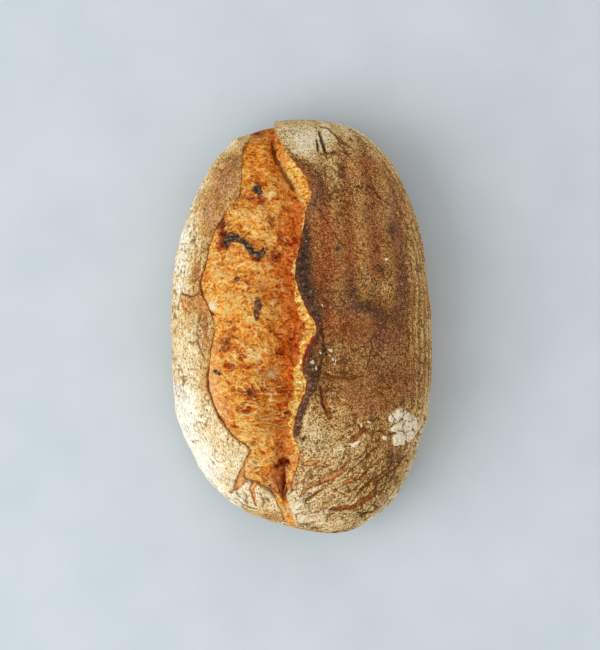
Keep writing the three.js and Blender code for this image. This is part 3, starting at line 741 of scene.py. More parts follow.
def heel_side(s, turn):
    """The crust on the heel's side: places, directions out of it and tones."""
    p, out = body(s, turn)
    upper = smooth_step(0, 10, p[..., 2])
    x, y, z = (p[..., n] for n in range(3))
    grain = noise_over(x, y)
    down = math.pi - turn
    top = smooth_step(0, 0.25, down)
    bottom = smooth_step(-0.1, -0.5, down)
    sunk, crease_shade, torn = crease_marks(x, y, HEEL_CREASES)
    opened, bare = tear_marks(x, y, HEEL_TEARS)
    raised, pale = fold_marks(x, y, HEEL_FOLDS)
    lip_gap = (turn - s.lip) * s.half
    across = down * s.half
    layer_x, flap_x = along(LAYER_X, y), along(FLAP_X, y)
    layer = smooth_step(layer_x - 0.6, layer_x + 0.3, x) * window(-20, -14, 17, 24, y)
    flap = smooth_step(flap_x - 0.5, flap_x + 0.4, x) * window(40, 46, 78, 86, y)
    knuckle = patches(x, y, KNUCKLE) * (1 + 0.6 * grain(2.6, 4.5))
    drift = 2.0 * noise(y / 26, across / 16, 4.5)
    ribs = np.cos(2 * math.pi * (across + drift) / HEEL_STRIPE_PITCH)
    ribs = ribs * smooth_step(-0.5, 0.1, down) * smooth_step(60, 40, np.abs(y - 40))
    pits = worms(across, y, z / 6, 1.2, 1.6, 0.34)
    cracks = np.maximum(crackle(x, y, z / 9), 0.4 * crackle(1.7 * x + 9, 1.7 * y, z / 9))
    cracks = cracks * smooth_step(-0.4, 0.2, down)
    sparse = smooth_step(0.25, 0.75, grain(9, 5.5, 12) + 0.75 + 0.3 * smooth_step(-50, -30, y))
    pits = pits * sparse * (0.3 + 0.3 * smooth_step(-80, -30, y))
    lumps = 0.28 * solid_noise(p, 2.4, 5, 3.4) + 0.22 * solid_noise(p, 1.0, 0, 1.3)
    lumps += 0.5 * solid_noise(p, 6, 5)
    offset = upper * (crust_relief(p) + lumps - 0.45 * pits - 0.35 * cracks + 0.25 * ribs)
    offset += top * (raised - 1.3 * sunk - opened) + 0.9 * layer + 0.8 * flap + 2.2 * knuckle
    offset -= 1.0 * np.exp(-lip_gap / 0.6) * s.open * along(GAP, s.y)
    p = p + out * offset[..., None]

    flour = along(HEEL_DUST, y) + (patches(x, y, HEEL_FLOUR) + 0.12 * pale) * top
    flour += 0.07 * grain(12, 6.5, 14) + 0.1 * grain(3.4, 2.5, 4.6)
    flour += 0.05 * ribs - 0.12 * pits - 0.14 * cracks
    flour += 0.10 * smooth_step(0.9, 0.3, down) * smooth_step(10, -40, y)
    flour -= 0.10 * np.exp(-lip_gap / 3.5) * smooth_step(-50, -20, y)
    bake = 0.72 + 0.10 * grain(10, 1.5, 12) + 0.12 * grain(4, 3.5)
    nothing = np.zeros(x.shape)
    tones = {
        "bake": mix(bake, 0.4 + 0.2 * grain(9, 1.5), bottom),
        "red": np.clip(patches(x, y, HEEL_RED) + 0.5 * grain(4, 9.5, 5), 0, 1) * top,
        "flour": mix(flour, 0.42 + 0.15 * grain(12, 1.5), bottom),
        "char": nothing,
        "purple": nothing,
        "mauve": np.clip(patches(x, y, HEEL_MAUVE) + 0.4 * grain(3.5, 29.5, 4.5), 0, 1) * top,
        # painted shade in the creases
        "crease_shade": crease_shade * top,
        "pit": 0.75 * np.maximum(pits, cracks),
        "torn": np.maximum(torn, bare) * top,
        "edge": hill(lip_gap, 0.7) * s.open * along(HEEL_EDGE, y),
        "white": nothing,
    }
    return p, out, tones


# ------------------------------------------------------------------ meshes
def spots(*pairs):
    """Texture places, from one (u, v) pair of arrays for each corner of a kind of face."""
    return np.stack([np.stack(np.broadcast_arrays(u, v), axis=-1) for u, v in pairs], axis=1).reshape(-1, 2)


def build_mesh(name, rings, tones, columns_u, sharp):
    """A closed mesh from rings of places: quads between the rings and a fan at each end.
    columns_u gives each column's place across the texture, and sharp the columns whose edges stay sharp."""
    rows, count = rings.shape[:2]
    ends = np.stack([rings[0].mean(axis=0), rings[-1].mean(axis=0)])
    places = (np.concatenate([rings.reshape(-1, 3), ends]) + [PLAN_SHIFT, 0, 0]) * MM
    here = np.arange(count)
    there = (here + 1) % count
    start = np.arange(rows - 1)[:, None] * count
    quads = np.stack([start + here, start + here + count, start + there + count, start + there], axis=-1)
    last = (rows - 1) * count
    near_fan = np.stack(np.broadcast_arrays(rows * count, here, there), axis=-1)
    far_fan = np.stack(np.broadcast_arrays(rows * count + 1, last + there, last + here), axis=-1)
    fans = np.concatenate([near_fan, far_fan])
    corners = np.concatenate([quads.ravel(), fans.ravel()]).astype(np.int32)
    starts = np.concatenate([np.arange(0, quads.size, 4), quads.size + np.arange(0, fans.size, 3)])
    mesh = bpy.data.meshes.new(name)
    mesh.vertices.add(len(places))
    mesh.vertices.foreach_set("co", places.astype(np.float32).ravel())
    mesh.loops.add(len(corners))
    mesh.loops.foreach_set("vertex_index", corners)
    mesh.polygons.add(len(starts))
    mesh.polygons.foreach_set("loop_start", starts.astype(np.int32))
    mesh.update(calc_edges=True)
    mesh.polygons.foreach_set("use_smooth", np.ones(len(starts), bool))

    # texture places: the column's own u, and the ring's share of the length as v
    u = np.concatenate([columns_u, [1.0]])
    v = 0.01 + 0.98 * np.arange(rows) / (rows - 1)
    k = np.tile(here, rows - 1)
    r = np.repeat(np.arange(rows - 1), count)
    middle = (u[:-1] + u[1:]) / 2
    uv = np.concatenate([
        spots((u[k], v[r]), (u[k], v[r + 1]), (u[k + 1], v[r + 1]), (u[k + 1], v[r])),
        spots((middle, 0.002), (u[:-1], v[0]), (u[1:], v[0])),
        spots((middle, 0.998), (u[1:], v[-1]), (u[:-1], v[-1])),
    ])
    mesh.uv_layers.new(name="OFBake").data.foreach_set("uv", uv.astype(np.float32).ravel())
    for tone, values in tones.items():
        values = np.concatenate([values.ravel(), [values[0].mean(), values[-1].mean()]])
        mesh.attributes.new(tone, "FLOAT", "POINT").data.foreach_set("value", values.astype(np.float32))
    if sharp:
        pairs = np.empty(len(mesh.edges) * 2, np.int32)
        mesh.edges.foreach_get("vertices", pairs)
        columns = pairs.reshape(-1, 2) % count
        keep = np.isin(columns[:, 0], sharp) & (columns[:, 0] == columns[:, 1])
        mesh.attributes.new("sharp_edge", "BOOLEAN", "EDGE").data.foreach_set("value", keep)
    piece = bpy.data.objects.new(name, mesh)
    bpy.context.scene.collection.objects.link(piece)
    return piece


def texture_columns(rings, outer):
    """The columns' places across the texture: the outer ones share it by their widths, and the rest get a
    narrow strip."""
    middle = rings[len(rings) // 2]
    widths = np.linalg.norm(np.diff(middle[:outer], axis=0), axis=1)
    shares = np.concatenate([[0], np.cumsum(widths)]) / widths.sum()
    hidden = len(middle) - outer
    return np.concatenate([0.01 + 0.93 * shares, 0.94 + 0.05 * (np.arange(hidden) + 1) / (hidden + 1)])


def pad(tones, hidden):
    """Extends the tones over the hidden columns with the last column's values."""
    return {name: np.pad(values, [(0, 0), (0, hidden)], mode="edge") for name, values in tones.items()}


def ring_angles(count):
    """The angles of the crust's rings, closer together towards the middle than towards the ends."""
    t = np.linspace(-1, 1, count + 2)[1:-1]
    return math.pi / 2 * (0.78 * t + 0.22 * t**3)


def contact_turn(s):
    """How far below the girth the underside meets the table."""
    return np.arcsin(np.minimum(0.96, (GIRTH_HEIGHT / s.drop) ** (1 / UNDER_POWER)))


def stretches(*runs):
    """Turns along one ring from (from, to, count) runs, one row for each station."""
    parts = [mix(start, stop, (np.arange(count) / count)[None, :]) for start, stop, count in runs]
    parts.append(runs[-1][1] + np.zeros((len(parts[0]), 1)))
    return np.concatenate(parts, axis=1)


def crust_piece(name, side):
    """A closed shell of crust: its inner side runs back from the last column to the first in few columns."""
    p, out, tones = side
    p[..., 2] = np.maximum(p[..., 2], 0)
    picks = np.linspace(p.shape[1] - 1, 0, INNER_COLUMNS).round().astype(int)
    inner = (p - out * SHELL)[:, picks]
    inner[..., 2] = np.maximum(inner[..., 2], INNER_FLOOR)
    rings = np.concatenate([p, inner], axis=1)
    outer = p.shape[1]
    return name, rings, pad(tones, INNER_COLUMNS), texture_columns(rings, outer), (0, outer - 1)


s = stations(ring_angles(CRUST_RINGS))
contact = contact_turn(s)
zero = np.zeros((CRUST_RINGS, 1))
ear_turns = stretches(
    (zero - math.pi / 2, -contact, 6), (-contact, zero, int(34 * FINE)), (zero, s.rim, int(172 * FINE)),
)
heel_turns = stretches(
    (s.lip, zero + math.pi, int(100 * FINE)), (zero + math.pi, math.pi + contact, int(34 * FINE)),
    (math.pi + contact, zero + 1.5 * math.pi, 6),
)
ear = crust_piece("crust_ear_side", ear_side(s, ear_turns))
heel = crust_piece("crust_heel_side", heel_side(s, heel_turns))
low_x = min(ear[1][..., 0].min(), heel[1][..., 0].min())
high_x = max(ear[1][..., 0].max(), heel[1][..., 0].max())
PLAN_SHIFT = (LOW[0] + HIGH[0]) / 2 - (low_x + high_x) / 2  # from plan places to the frame's x


# ------------------------------------------------------------------ the crumb
def threads(field, count, width):
    """Threads along the contour lines of a field, from 0 to 1."""
    return smooth_step(1 - width, 1, np.abs((field * count) % 1 - 0.5) * 2)


def crumb_texture(p, strand):
    """The torn crumb's relief: hollows with thin walls and curling threads, drawn out across the loaf where
    strand is 1. Gives the height in mm, how much a place is a thin wall, and how deep in a hollow it is,
    which sets the painted shade in the hollows."""
    x, y, z = (p[..., n] for n in range(3))
    bent_x = x + 1.6 * solid_noise(p, 4.4) + 0.4 * solid_noise(p, 1.7)
    bent_y = y + 1.6 * solid_noise(p, 4.4, 9) + 0.4 * solid_noise(p, 1.7, 9)
    large, large_own = cells(bent_x / 9.5, bent_y / 6.5, z / 8, 11)
    middle, middle_own = cells(bent_x / 4.6, bent_y / 3.1, z / 3.8, 23)
    shaded_hollow = smooth_step(0.02, 0.4, large) * smooth_step(-0.1, 0.8, large_own)
    pocket = smooth_step(0.03, 0.4, middle) * smooth_step(-0.3, 0.7, middle_own)
    rough = 0.6 * noise(bent_x / 2, bent_y / 1.5, z / 2) + 0.4 * noise(bent_x / 1.05, bent_y / 0.85, z / 1.2)
    bare = smooth_step(-0.5, 0.4, noise(x / 6, y / 4.5, 14.5))
    loose = threads(noise(bent_x / 8, bent_y / 5.2, z / 7), 2.2, 0.36) * mix(bare, 1, 0.35)
    curls = threads(noise(bent_x / 4.6 + 4, bent_y / 2.8, z / 4), 1.4, 0.34) * mix(1 - bare, 1, 0.4)
    drawn_out = threads(noise(bent_x / 17, bent_y / 3.8, z / 9), 2.6, 0.42)
    walls = np.maximum(1 - middle / 0.13, 0) * smooth_step(-0.2, 0.5, middle_own)
    web = 0.2 + 0.55 * rough - 1.3 * shaded_hollow - 0.7 * pocket + 0.75 * loose + 0.5 * curls
    drawn = 0.1 + 0.4 * rough + 0.85 * drawn_out + 0.35 * curls - 0.9 * shaded_hollow - 0.35 * pocket
    thin = 0.6 * walls + mix(0.85 * loose + 0.6 * curls, 0.9 * drawn_out + 0.4 * curls, strand)
    depth = mix(0.8 * shaded_hollow + 0.55 * pocket, 0.6 * shaded_hollow + 0.3 * pocket, strand)
    depth = depth - 0.4 * np.minimum(rough, 0)
    return mix(web, drawn, strand), thin, depth


def crumb_floor(s, share):
    """The crumb from the wall's foot, where share is 0, to the lip, where it is 1: the places, and how deep
    the holes are there."""
    floor, out = body(s, mix(s.foot, s.lip, share))
    inside = smooth_step(0, 0.1, share) * (1 - smooth_step(0.9, 1, share))
    offset = crumb_offset(s.y, share) + crumb_relief(floor) * (0.4 + 0.6 * inside)
    shaken_x, shaken_y = shaken(floor[..., 0], floor[..., 1], (0.8, 2.5, 1.5, 4.5))
    holes = np.zeros(shaken_x.shape)
    for hole_x, hole_y, reach_x, reach_y, depth in PITS:
        reach = np.hypot((shaken_x - hole_x) / reach_x, (shaken_y - hole_y) / reach_y)
        holes = np.maximum(holes, depth * (1 - smooth_step(0.25, 1.15, reach)))
    offset = mix(crust_relief(floor) - 0.3, offset - holes, s.open)
    return floor + out * offset[..., None], holes


def torn_wall(s, t, foot):
    """The wall from the ear's edge, where t is 0, to its foot, where t is 1: a ragged ledge and then a drop.
    Gives the places, how far each is from the rim, how ragged the ledge's end is, and the ledge's width."""
    rim, rim_out = body(s, s.rim)
    rim = rim + rim_out * ((ear_lift(s, s.rim) + crust_relief(rim) - 1.7 * s.open)[..., None])
    from_rim = t * np.linalg.norm((foot - rim)[..., :2], axis=-1)
    x, y = rim[..., 0] - from_rim, rim[..., 1] + 0 * t
    ragged = 2.5 * noise(x / 3.6, y / 3.2, 1.5) + 1.3 * noise(x / 1.7, y / 1.2, 6.5)
    ledge = along(LEDGE, s.y) * (1 + 0.8 * noise(s.y / 6.5, 4.5, 1.5))
    down = smooth_step(ledge, ledge + along(FALL, s.y), from_rim + ragged * smooth_step(0, 0.2, t))
    down = mix(down, 1, smooth_step(0.8, 1, t))
    level = t + 0 * ledge
    wall = rim + (foot - rim) * np.stack([level, level, 0.12 * level + 0.88 * down], axis=-1)
    return wall, from_rim, ragged, ledge


def crumb_surface(s):
    """The wall under the ear and the crumb, from the rim to under the lip: places and tones."""
    t = np.arange(WALL_COLUMNS)[None, :] / WALL_COLUMNS
    share = np.linspace(0, 1, CRUMB_COLUMNS)[None, :]
    floor, holes = crumb_floor(s, share)
    wall, from_rim, ragged, ledge = torn_wall(s, t, floor[:, :1])
    under, inward = body(s, np.minimum(s.lip + TUCK_REACH / s.half, s.lip + 0.3))
    tuck = mix(floor[:, -1:], under - TUCK_DEPTH * inward, np.array(TUCK_STEPS)[None, :, None])
    p = np.concatenate([wall, floor, tuck], axis=1)

    x, y = p[..., 0], p[..., 1]
    on_wall = (np.arange(p.shape[1]) < WALL_COLUMNS)[None, :]
    columns = np.concatenate([t[0] - 1, share[0], np.ones(len(TUCK_STEPS))])[None, :] + 0 * x
    strand = window(-66, -58, -34, -24, y) * smooth_step(-46, -30, x)
    strand = np.maximum(strand, 0.15 * smooth_step(70, 84, y))
    skin = np.clip(patches(x, y, SKIN), 0, 1)
    height, thin, depth = crumb_texture(p, strand)
    calm = (1 - 0.55 * skin) * (0.25 + 0.75 * s.open) * (1 - 0.7 * smooth_step(0.96, 1, columns))
    calm = calm * (1 - 0.45 * ~on_wall * smooth_step(78, 94, y))
    shaken_x = x + 0.8 * noise(x / 2.5, y / 2.5, 51.5) + 0.4 * noise(x / 1.1, y / 1.1, 52.5)
    groove_gap, groove_at = near_path(shaken_x, y, GROOVE)
    # the fold under the wall: lowered in the relief, and painted dark as shade
    shaded_groove = hill(groove_gap, mix(0.8, 1.5, groove_at)) * window(0, 0.2, 0.9, 1, groove_at)
    p = p + normals_of(p) * (1.05 * height * calm + 1.4 * patches(x, y, BUBBLE) - 1.5 * shaded_groove)[..., None]

    beyond = [(0, 0), (0, p.shape[1] - WALL_COLUMNS)]
    near_rim = np.pad(from_rim, beyond, constant_values=99.0)
    ragged = np.pad(ragged, beyond)
    fresh = along(FRESH, s.y) * (1 - smooth_step(-0.5, 1.0, near_rim + ragged - ledge))
    burnt = np.where(on_wall, along(BURNT, s.y) * (1 - smooth_step(1.0, 2.8, near_rim + 0.5 * ragged)), 0)
    flank = np.where(on_wall, smooth_step(66, 78, y) * along(FRESH, s.y), 0)
    # painted shade: in the holes, down the wall below the ledge, and in the valley at the wall's foot
    hole_shade = np.pad(holes / 2.6, [(0, 0), (WALL_COLUMNS, len(TUCK_STEPS))])
    wall_foot_shade = np.where(on_wall, 1 - fresh, hill(columns, 0.22)) * (1 - 0.45 * smooth_step(-28, -40, y))
    wall_foot_shade = wall_foot_shade * (1 - 0.5 * smooth_step(66, 80, y))
    tones = {
        "thin": thin * calm,
        "strand": strand * (1 - skin),
        # painted shade: how deep in a hollow each place lies, which darkens the crumb's colour
        "shaded_hollow": np.clip(depth, 0, 1) * calm,
        # brown places, and painted shade beside the bubble, in the holes and under the rim
        "brown": patches(x, y, BROWN_AND_SHADE) + 0.22 * noise(x / 7, y / 5, 3.5) + 0.1 * noise(x / 2.6, y / 2.2, 8.5),
        "cream": patches(x, y, CREAM) + 0.26 * noise(x / 5, y / 4, 6.5),
        "shaded_groove": shaded_groove,
        "frayed": (1 - 0.6 * skin) * (1 - 0.55 * ~on_wall * smooth_step(76, 92, y)),
        "skin": skin,
        "burnt": burnt * s.open,
        "fresh": np.maximum(fresh, flank * (0.7 + 0.4 * thin)) * s.open,
        # painted shade in the holes, under the ledge and at the wall's foot
        "valley_shade": np.clip(np.maximum(hole_shade, 0.8 * wall_foot_shade * s.open), 0, 1),
    }
    return p, tones


def crumb_piece(s):
    """The crumb as a closed piece: its underside runs back from under the lip to the rim."""
    p, tones = crumb_surface(s)
    inward = body(s, (s.rim + s.lip) / 2)[1]
    under = np.stack([mix(p[:, -1], p[:, 0], share) for share in np.linspace(0, 1, UNDER_COLUMNS)], axis=1)
    under = under - inward * (CRUMB_DEPTH * s.open + 1.5)[..., None]
    rings = np.concatenate([p, under], axis=1)
    return "crumb", rings, pad(tones, UNDER_COLUMNS), texture_columns(rings, p.shape[1]), ()


first, last = (np.arcsin(y * 2 / LENGTH) for y in (SPLIT_NEAR - 0.2, SPLIT_FAR))
crumb = crumb_piece(stations(np.linspace(first, last, CRUMB_RINGS)))


# ------------------------------------------------------------------ materials
def rgb(red, green, blue):
    """A colour given as it looks on screen, from 0 to 255, in the linear values that shaders take."""
    return tuple((c / 255) ** 2.2 for c in (red, green, blue)) + (1.0,)


class Nodes:
    """Short calls for a material's nodes."""

    def __init__(self, name):
        self.material = bpy.data.materials.new(name)
        self.material.use_nodes = True
        self.tree = self.material.node_tree
        self.shader = self.tree.nodes["Principled BSDF"]
        self.place = self.new("ShaderNodeTexCoord").outputs["Object"]

    def new(self, kind, **settings):
        node = self.tree.nodes.new(kind)
        for name, value in settings.items():
            setattr(node, name, value)
        return node

    def put(self, socket, value):
        if hasattr(value, "links"):
            self.tree.links.new(value, socket)
        else:
            socket.default_value = value

    def put_all(self, node, inputs, values):
        for key, value in zip(inputs, values):
            self.put(node.inputs[key], value)

    def noise(self, size, detail=3.0, roughness=0.55, stretch=(1, 1, 1), lean=0.0):
        """Noise with features about this size in mm, from 0 to 1, stretched and then turned in plan."""
        mapping = self.new("ShaderNodeMapping", vector_type="TEXTURE")
        self.put(mapping.inputs["Vector"], self.place)
        mapping.inputs["Rotation"].default_value = (0, 0, lean)
        mapping.inputs["Scale"].default_value = [size * n * MM for n in stretch]
        node = self.new("ShaderNodeTexNoise")
        self.put(node.inputs["Vector"], mapping.outputs["Vector"])
        node.inputs["Scale"].default_value = 1.0
        node.inputs["Detail"].default_value = detail
        node.inputs["Roughness"].default_value = roughness
        return node.outputs["Fac"]

    def math(self, operation, a, b):
        node = self.new("ShaderNodeMath", operation=operation)
        self.put_all(node, (0, 1), (a, b))
        return node.outputs[0]

    def times(self, a, b):
        return self.math("MULTIPLY", a, b)

    def sum(self, *terms):
        return reduce(lambda total, term: self.math("ADD", total, term), terms)

    def attribute(self, name, amount=None):
        """A tone of the mesh, times an amount where one is given."""
        value = self.new("ShaderNodeAttribute", attribute_name=name).outputs["Fac"]
        return value if amount is None else self.times(value, amount)

    def around(self, value, amount, middle=0.5):
        """amount times how far the value is from the middle."""
        return self.times(self.math("SUBTRACT", value, middle), amount)

    def waves(self, value, count):
        """How far the value is from its nearest contour line of this many from 0 to 1, from 0 to 0.5."""
        return self.math("PINGPONG", self.times(value, float(count)), 0.5)

    def range(self, value, low, high, to_low=0.0, to_high=1.0):
        node = self.new("ShaderNodeMapRange", interpolation_type="SMOOTHSTEP")
        self.put_all(node, range(5), (value, low, high, to_low, to_high))
        return node.outputs["Result"]

    def mask(self, name, wobble, amount, low, high, top=1.0):
        """A tone of the mesh with its edges frayed by noise, from 0 at low to top at high."""
        return self.range(self.sum(self.attribute(name), self.around(wobble, amount)), low, high, 0.0, top)

    def ramp(self, value, *stops):
        """A colour from (place, red, green, blue) stops."""
        node = self.new("ShaderNodeValToRGB")
        self.put(node.inputs["Fac"], value)
        elements = node.color_ramp.elements
        while len(elements) < len(stops):
            elements.new(0.5)
        for element, (at, *colour) in zip(elements, stops):
            element.position = at
            element.color = rgb(*colour)
        return node.outputs["Color"]

    def blend_value(self, share, first, second):
        node = self.new("ShaderNodeMix", data_type="FLOAT", clamp_factor=True)
        self.put_all(node, ("Factor", 2, 3), (share, first, second))
        return node.outputs[0]

    def blend(self, share, first, second, kind="MIX"):
        node = self.new("ShaderNodeMix", data_type="RGBA", blend_type=kind, clamp_factor=True)
        self.put_all(node, ("Factor", 6, 7), (share, first, second))
        return node.outputs[2]

    def finish(self, colour, roughness, height, bump_mm, strength, specular):
        bump = self.new("ShaderNodeBump")
        bump.inputs["Strength"].default_value = strength
        bump.inputs["Distance"].default_value = bump_mm * MM
        self.put(bump.inputs["Height"], height)
        self.put(self.shader.inputs["Base Color"], colour)
        self.put(self.shader.inputs["Roughness"], roughness)
        self.put(self.shader.inputs["Normal"], bump.outputs["Normal"])
        self.shader.inputs["Specular IOR Level"].default_value = specular
        return self.material


def crust_material(name, gap, mottle, pit, specks, sparkle):
    """Baked crust: grains of flour over brown, with red, charred, torn and cracked places. gap is how long
    the bare places between grains are for their width, mottle how strong they are, pit the pits' colour,
    specks how many small dark pits are in the flour, and sparkle how pale its wrinkles and grains are."""
    n = Nodes(name)
    coarse, grains, dust = n.noise(2.0, 3), n.noise(1.0, 2, 0.7, stretch=(1, gap, 1)), n.noise(0.8, 1, 0.8)
    flour = n.attribute("flour")
    bake = n.sum(n.attribute("bake"), n.around(coarse, 0.7), n.around(grains, -0.8), n.around(dust, 1.3))
    brown = n.ramp(
        bake, (0.0, 44, 18, 6), (0.25, 84, 46, 19), (0.45, 122, 74, 34), (0.65, 158, 104, 50),
        (0.85, 202, 144, 78), (1.0, 230, 180, 112),
    )
    reddish = n.ramp(
        bake, (0.0, 62, 20, 4), (0.25, 104, 42, 14), (0.45, 146, 68, 28), (0.65, 186, 104, 48),
        (0.85, 220, 150, 86), (1.0, 234, 180, 118),
    )
    mauve = n.ramp(
        bake, (0.0, 44, 24, 18), (0.25, 78, 46, 34), (0.45, 116, 72, 52), (0.65, 154, 104, 78),
        (0.85, 196, 146, 114), (1.0, 220, 176, 146),
    )
    colour = n.blend(n.attribute("red"), brown, reddish)
    colour = n.blend(n.attribute("mauve", 0.85), colour, mauve)
    spread = n.sum(n.around(grains, 2.9 * mottle), n.around(dust, 2.1 * mottle), n.around(flour, 1.15))
    thin = n.ramp(
        n.sum(flour, n.around(grains, 0.8 * mottle), n.around(dust, 0.6 * mottle)),
        (0.2, 160, 112, 56), (0.42, 190, 144, 80), (0.58, 214, 172, 106), (0.72, 229, 194, 132),
        (0.86, 243, 222, 178), (1.0, 254, 247, 228),
    )
    colour = n.blend(n.times(n.range(spread, -0.1, 0.16), n.range(flour, 0.15, 0.6, 0.55, 1.0)), colour, thin)
    burnt = n.sum(coarse, n.around(dust, 0.8))
    coal = n.ramp(burnt, (0.3, 26, 21, 16), (0.5, 52, 40, 30), (0.72, 106, 84, 60))
    plum = n.ramp(burnt, (0.3, 44, 24, 17), (0.5, 82, 52, 40), (0.72, 146, 114, 92))
    coal = n.blend(n.attribute("purple"), coal, plum)
    colour = n.blend(n.mask("char", coarse, 0.6, 0.1, 0.85, 0.9), colour, coal)
    dough = n.ramp(
        n.sum(n.noise(1.3, 3), n.around(n.attribute("torn"), 1.2, 0.85)),
        (0.3, 132, 66, 26), (0.5, 194, 110, 50), (0.68, 236, 172, 104),
    )
    dots = n.times(n.range(n.noise(1.7, 1, stretch=(1, gap, 1)), 0.34, 0.26), specks)
    colour = n.blend(n.math("MAXIMUM", n.attribute("pit"), dots), colour, rgb(*pit))
    colour = n.blend(n.mask("torn", dust, 0.5, 0.25, 0.7), colour, dough)
    # painted shade, near black, in the creases, cracks and folds
    colour = n.blend(n.attribute("crease_shade", 0.88), colour, rgb(46, 28, 18))
    colour = n.blend(n.attribute("edge", 0.85), colour, rgb(124, 36, 12))
    chalk = n.ramp(
        n.sum(coarse, n.around(dust, 0.3)), (0.3, 206, 172, 126), (0.42, 238, 218, 182), (0.6, 252, 242, 218),
    )
    colour = n.blend(n.mask("white", dust, 0.6, 0.3, 0.8), colour, chalk)
    wrinkle = n.range(n.waves(n.noise(8.0, 2, 0.5), 6), 0.0, 0.09, 1.0, 0.0)
    wrinkle = n.times(wrinkle, n.range(n.noise(11, 1), 0.46, 0.6))
    colour = n.blend(n.times(wrinkle, sparkle), colour, rgb(206, 152, 92))
    colour = n.blend(n.times(n.range(n.noise(1.25, 0), 0.72, 0.8), sparkle), colour, rgb(226, 176, 120))
    height = n.sum(
        n.times(wrinkle, 0.6), grains, n.times(coarse, 0.8), n.times(dust, 0.5), n.times(dots, -0.4),
    )
    return n.finish(colour, n.range(flour, 0.2, 0.7, 0.5, 0.9), height, 0.5, 1.0, 0.16)


def crumb_material():
    """Torn crumb: pale threads and thin walls over golden dough, with painted shade that turns it
    orange-brown in the hollows, holes and the valley under the wall.
    """
    n = Nodes("crumb")
    broad, soft = n.noise(5.0, 3, 0.5, stretch=(1.5, 1, 1)), n.noise(2.4, 2, stretch=(1.6, 1, 1))
    fine, grit = n.noise(1.1, 2, stretch=(1.5, 1, 1)), n.noise(0.85, 2, 0.8)
    rising, falling = (n.waves(n.noise(2.6, 2, 0.5, (4.5, 1, 2), lean), 4) for lean in (0.5, -0.55))
    hairs = n.waves(n.noise(3.0, 2, 0.5, (6.0, 1, 2)), 4)
    curls = n.waves(n.noise(6.5, 2, 0.45, (1.5, 1, 1.2)), 5)
    strand, cream, brown = n.attribute("strand"), n.attribute("cream"), n.attribute("brown")
    tangled = n.math("MINIMUM", n.math("MINIMUM", rising, falling), n.times(curls, 1.5))
    between = n.blend_value(strand, tangled, hairs)
    # painted shade in the tone: darker in the hollows and between the threads
    tone = n.sum(
        0.60, n.around(broad, 0.75), n.around(soft, 0.5), n.around(fine, 0.7), n.around(grit, 0.75),
        n.around(between, -0.55, 0.14), n.attribute("shaded_hollow", -0.30), n.times(brown, -0.26),
        n.times(cream, 0.12),
    )
    colour = n.ramp(
        tone, (0.0, 104, 30, 0), (0.2, 160, 66, 2), (0.38, 204, 108, 16), (0.56, 232, 152, 50),
        (0.74, 246, 194, 104), (1.0, 255, 232, 172),
    )
    milky = n.ramp(tone, (0.1, 166, 98, 30), (0.5, 216, 164, 86), (0.9, 248, 228, 178))
    colour = n.blend(n.mask("cream", fine, 0.4, 0.25, 0.95), colour, milky)
    colour = n.blend(n.range(cream, 0.75, 1.3), colour, rgb(240, 216, 172))
    where = n.range(n.sum(broad, n.around(strand, 0.2)), 0.42, 0.6, 0.15, 1.0)
    line = n.times(n.range(between, 0.0, 0.11, 1.0, 0.0), n.times(where, n.attribute("frayed")))
    line = n.math("MAXIMUM", line, n.mask("thin", grit, 0.8, 0.3, 1.0, 0.7))
    colour = n.blend(line, colour, rgb(255, 222, 148))
    # painted shade: small dark dots for the pores
    pore_shade = n.range(n.noise(1.6, 1, stretch=(1.5, 1, 1)), 0.35, 0.26)
    colour = n.blend(n.times(pore_shade, 0.8), colour, rgb(112, 50, 10))
    skin = n.ramp(
        n.sum(soft, n.around(fine, 0.5)), (0.3, 204, 132, 76), (0.46, 236, 176, 118), (0.64, 252, 216, 164),
    )
    skin = n.blend(n.range(n.noise(4.0, 2), 0.5, 0.62, 0.0, 0.6), skin, rgb(210, 146, 118))
    colour = n.blend(n.attribute("skin", 0.62), colour, skin)
    # brown places, and painted shade where the brown patches lie in holes, beside the bubble and under the
    # rim
    colour = n.blend(n.times(n.mask("brown", fine, 0.5, 0.5, 1.2), 0.62), colour, rgb(138, 66, 34))
    colour = n.blend(n.range(brown, 1.1, 1.9, 0.0, 0.9), colour, rgb(104, 36, 14))
    # painted shade: the holes, the wall under the ledge and the valley at its foot turn deeper orange-brown
    colour = n.blend(n.attribute("valley_shade", 0.8), colour, rgb(236, 144, 40), "MULTIPLY")
    # painted shade between the threads of the fresh torn crumb
    torn = n.ramp(
        n.sum(soft, n.around(fine, 0.6), n.around(grit, 0.6), n.around(tangled, -0.5, 0.14)),
        (0.24, 170, 88, 16), (0.38, 224, 144, 46), (0.54, 246, 194, 92), (0.72, 255, 230, 164),
    )
    torn = n.blend(n.times(n.range(fine, 0.40, 0.32), 0.6), torn, rgb(150, 82, 20))
    colour = n.blend(n.mask("fresh", fine, 0.5, 0.3, 0.75), colour, torn)
    colour = n.blend(n.mask("burnt", fine, 0.8, 0.2, 0.8, 0.95), colour, rgb(140, 34, 6))
    # painted shade in the fold under the wall
    colour = n.blend(n.mask("shaded_groove", fine, 0.8, 0.1, 1.0, 0.8), colour, rgb(112, 62, 22))
    height = n.sum(soft, n.times(fine, 0.6), n.times(grit, 0.5), n.times(line, 0.9))
    material = n.finish(colour, n.range(tone, 0.1, 0.9, 0.5, 0.8), height, 0.5, 1.0, 0.14)
    n.shader.inputs["Subsurface Weight"].default_value = 0.1
    n.shader.inputs["Subsurface Radius"].default_value = (1.0, 0.45, 0.18)
    n.shader.inputs["Subsurface Scale"].default_value = 1.0 * MM
    return material


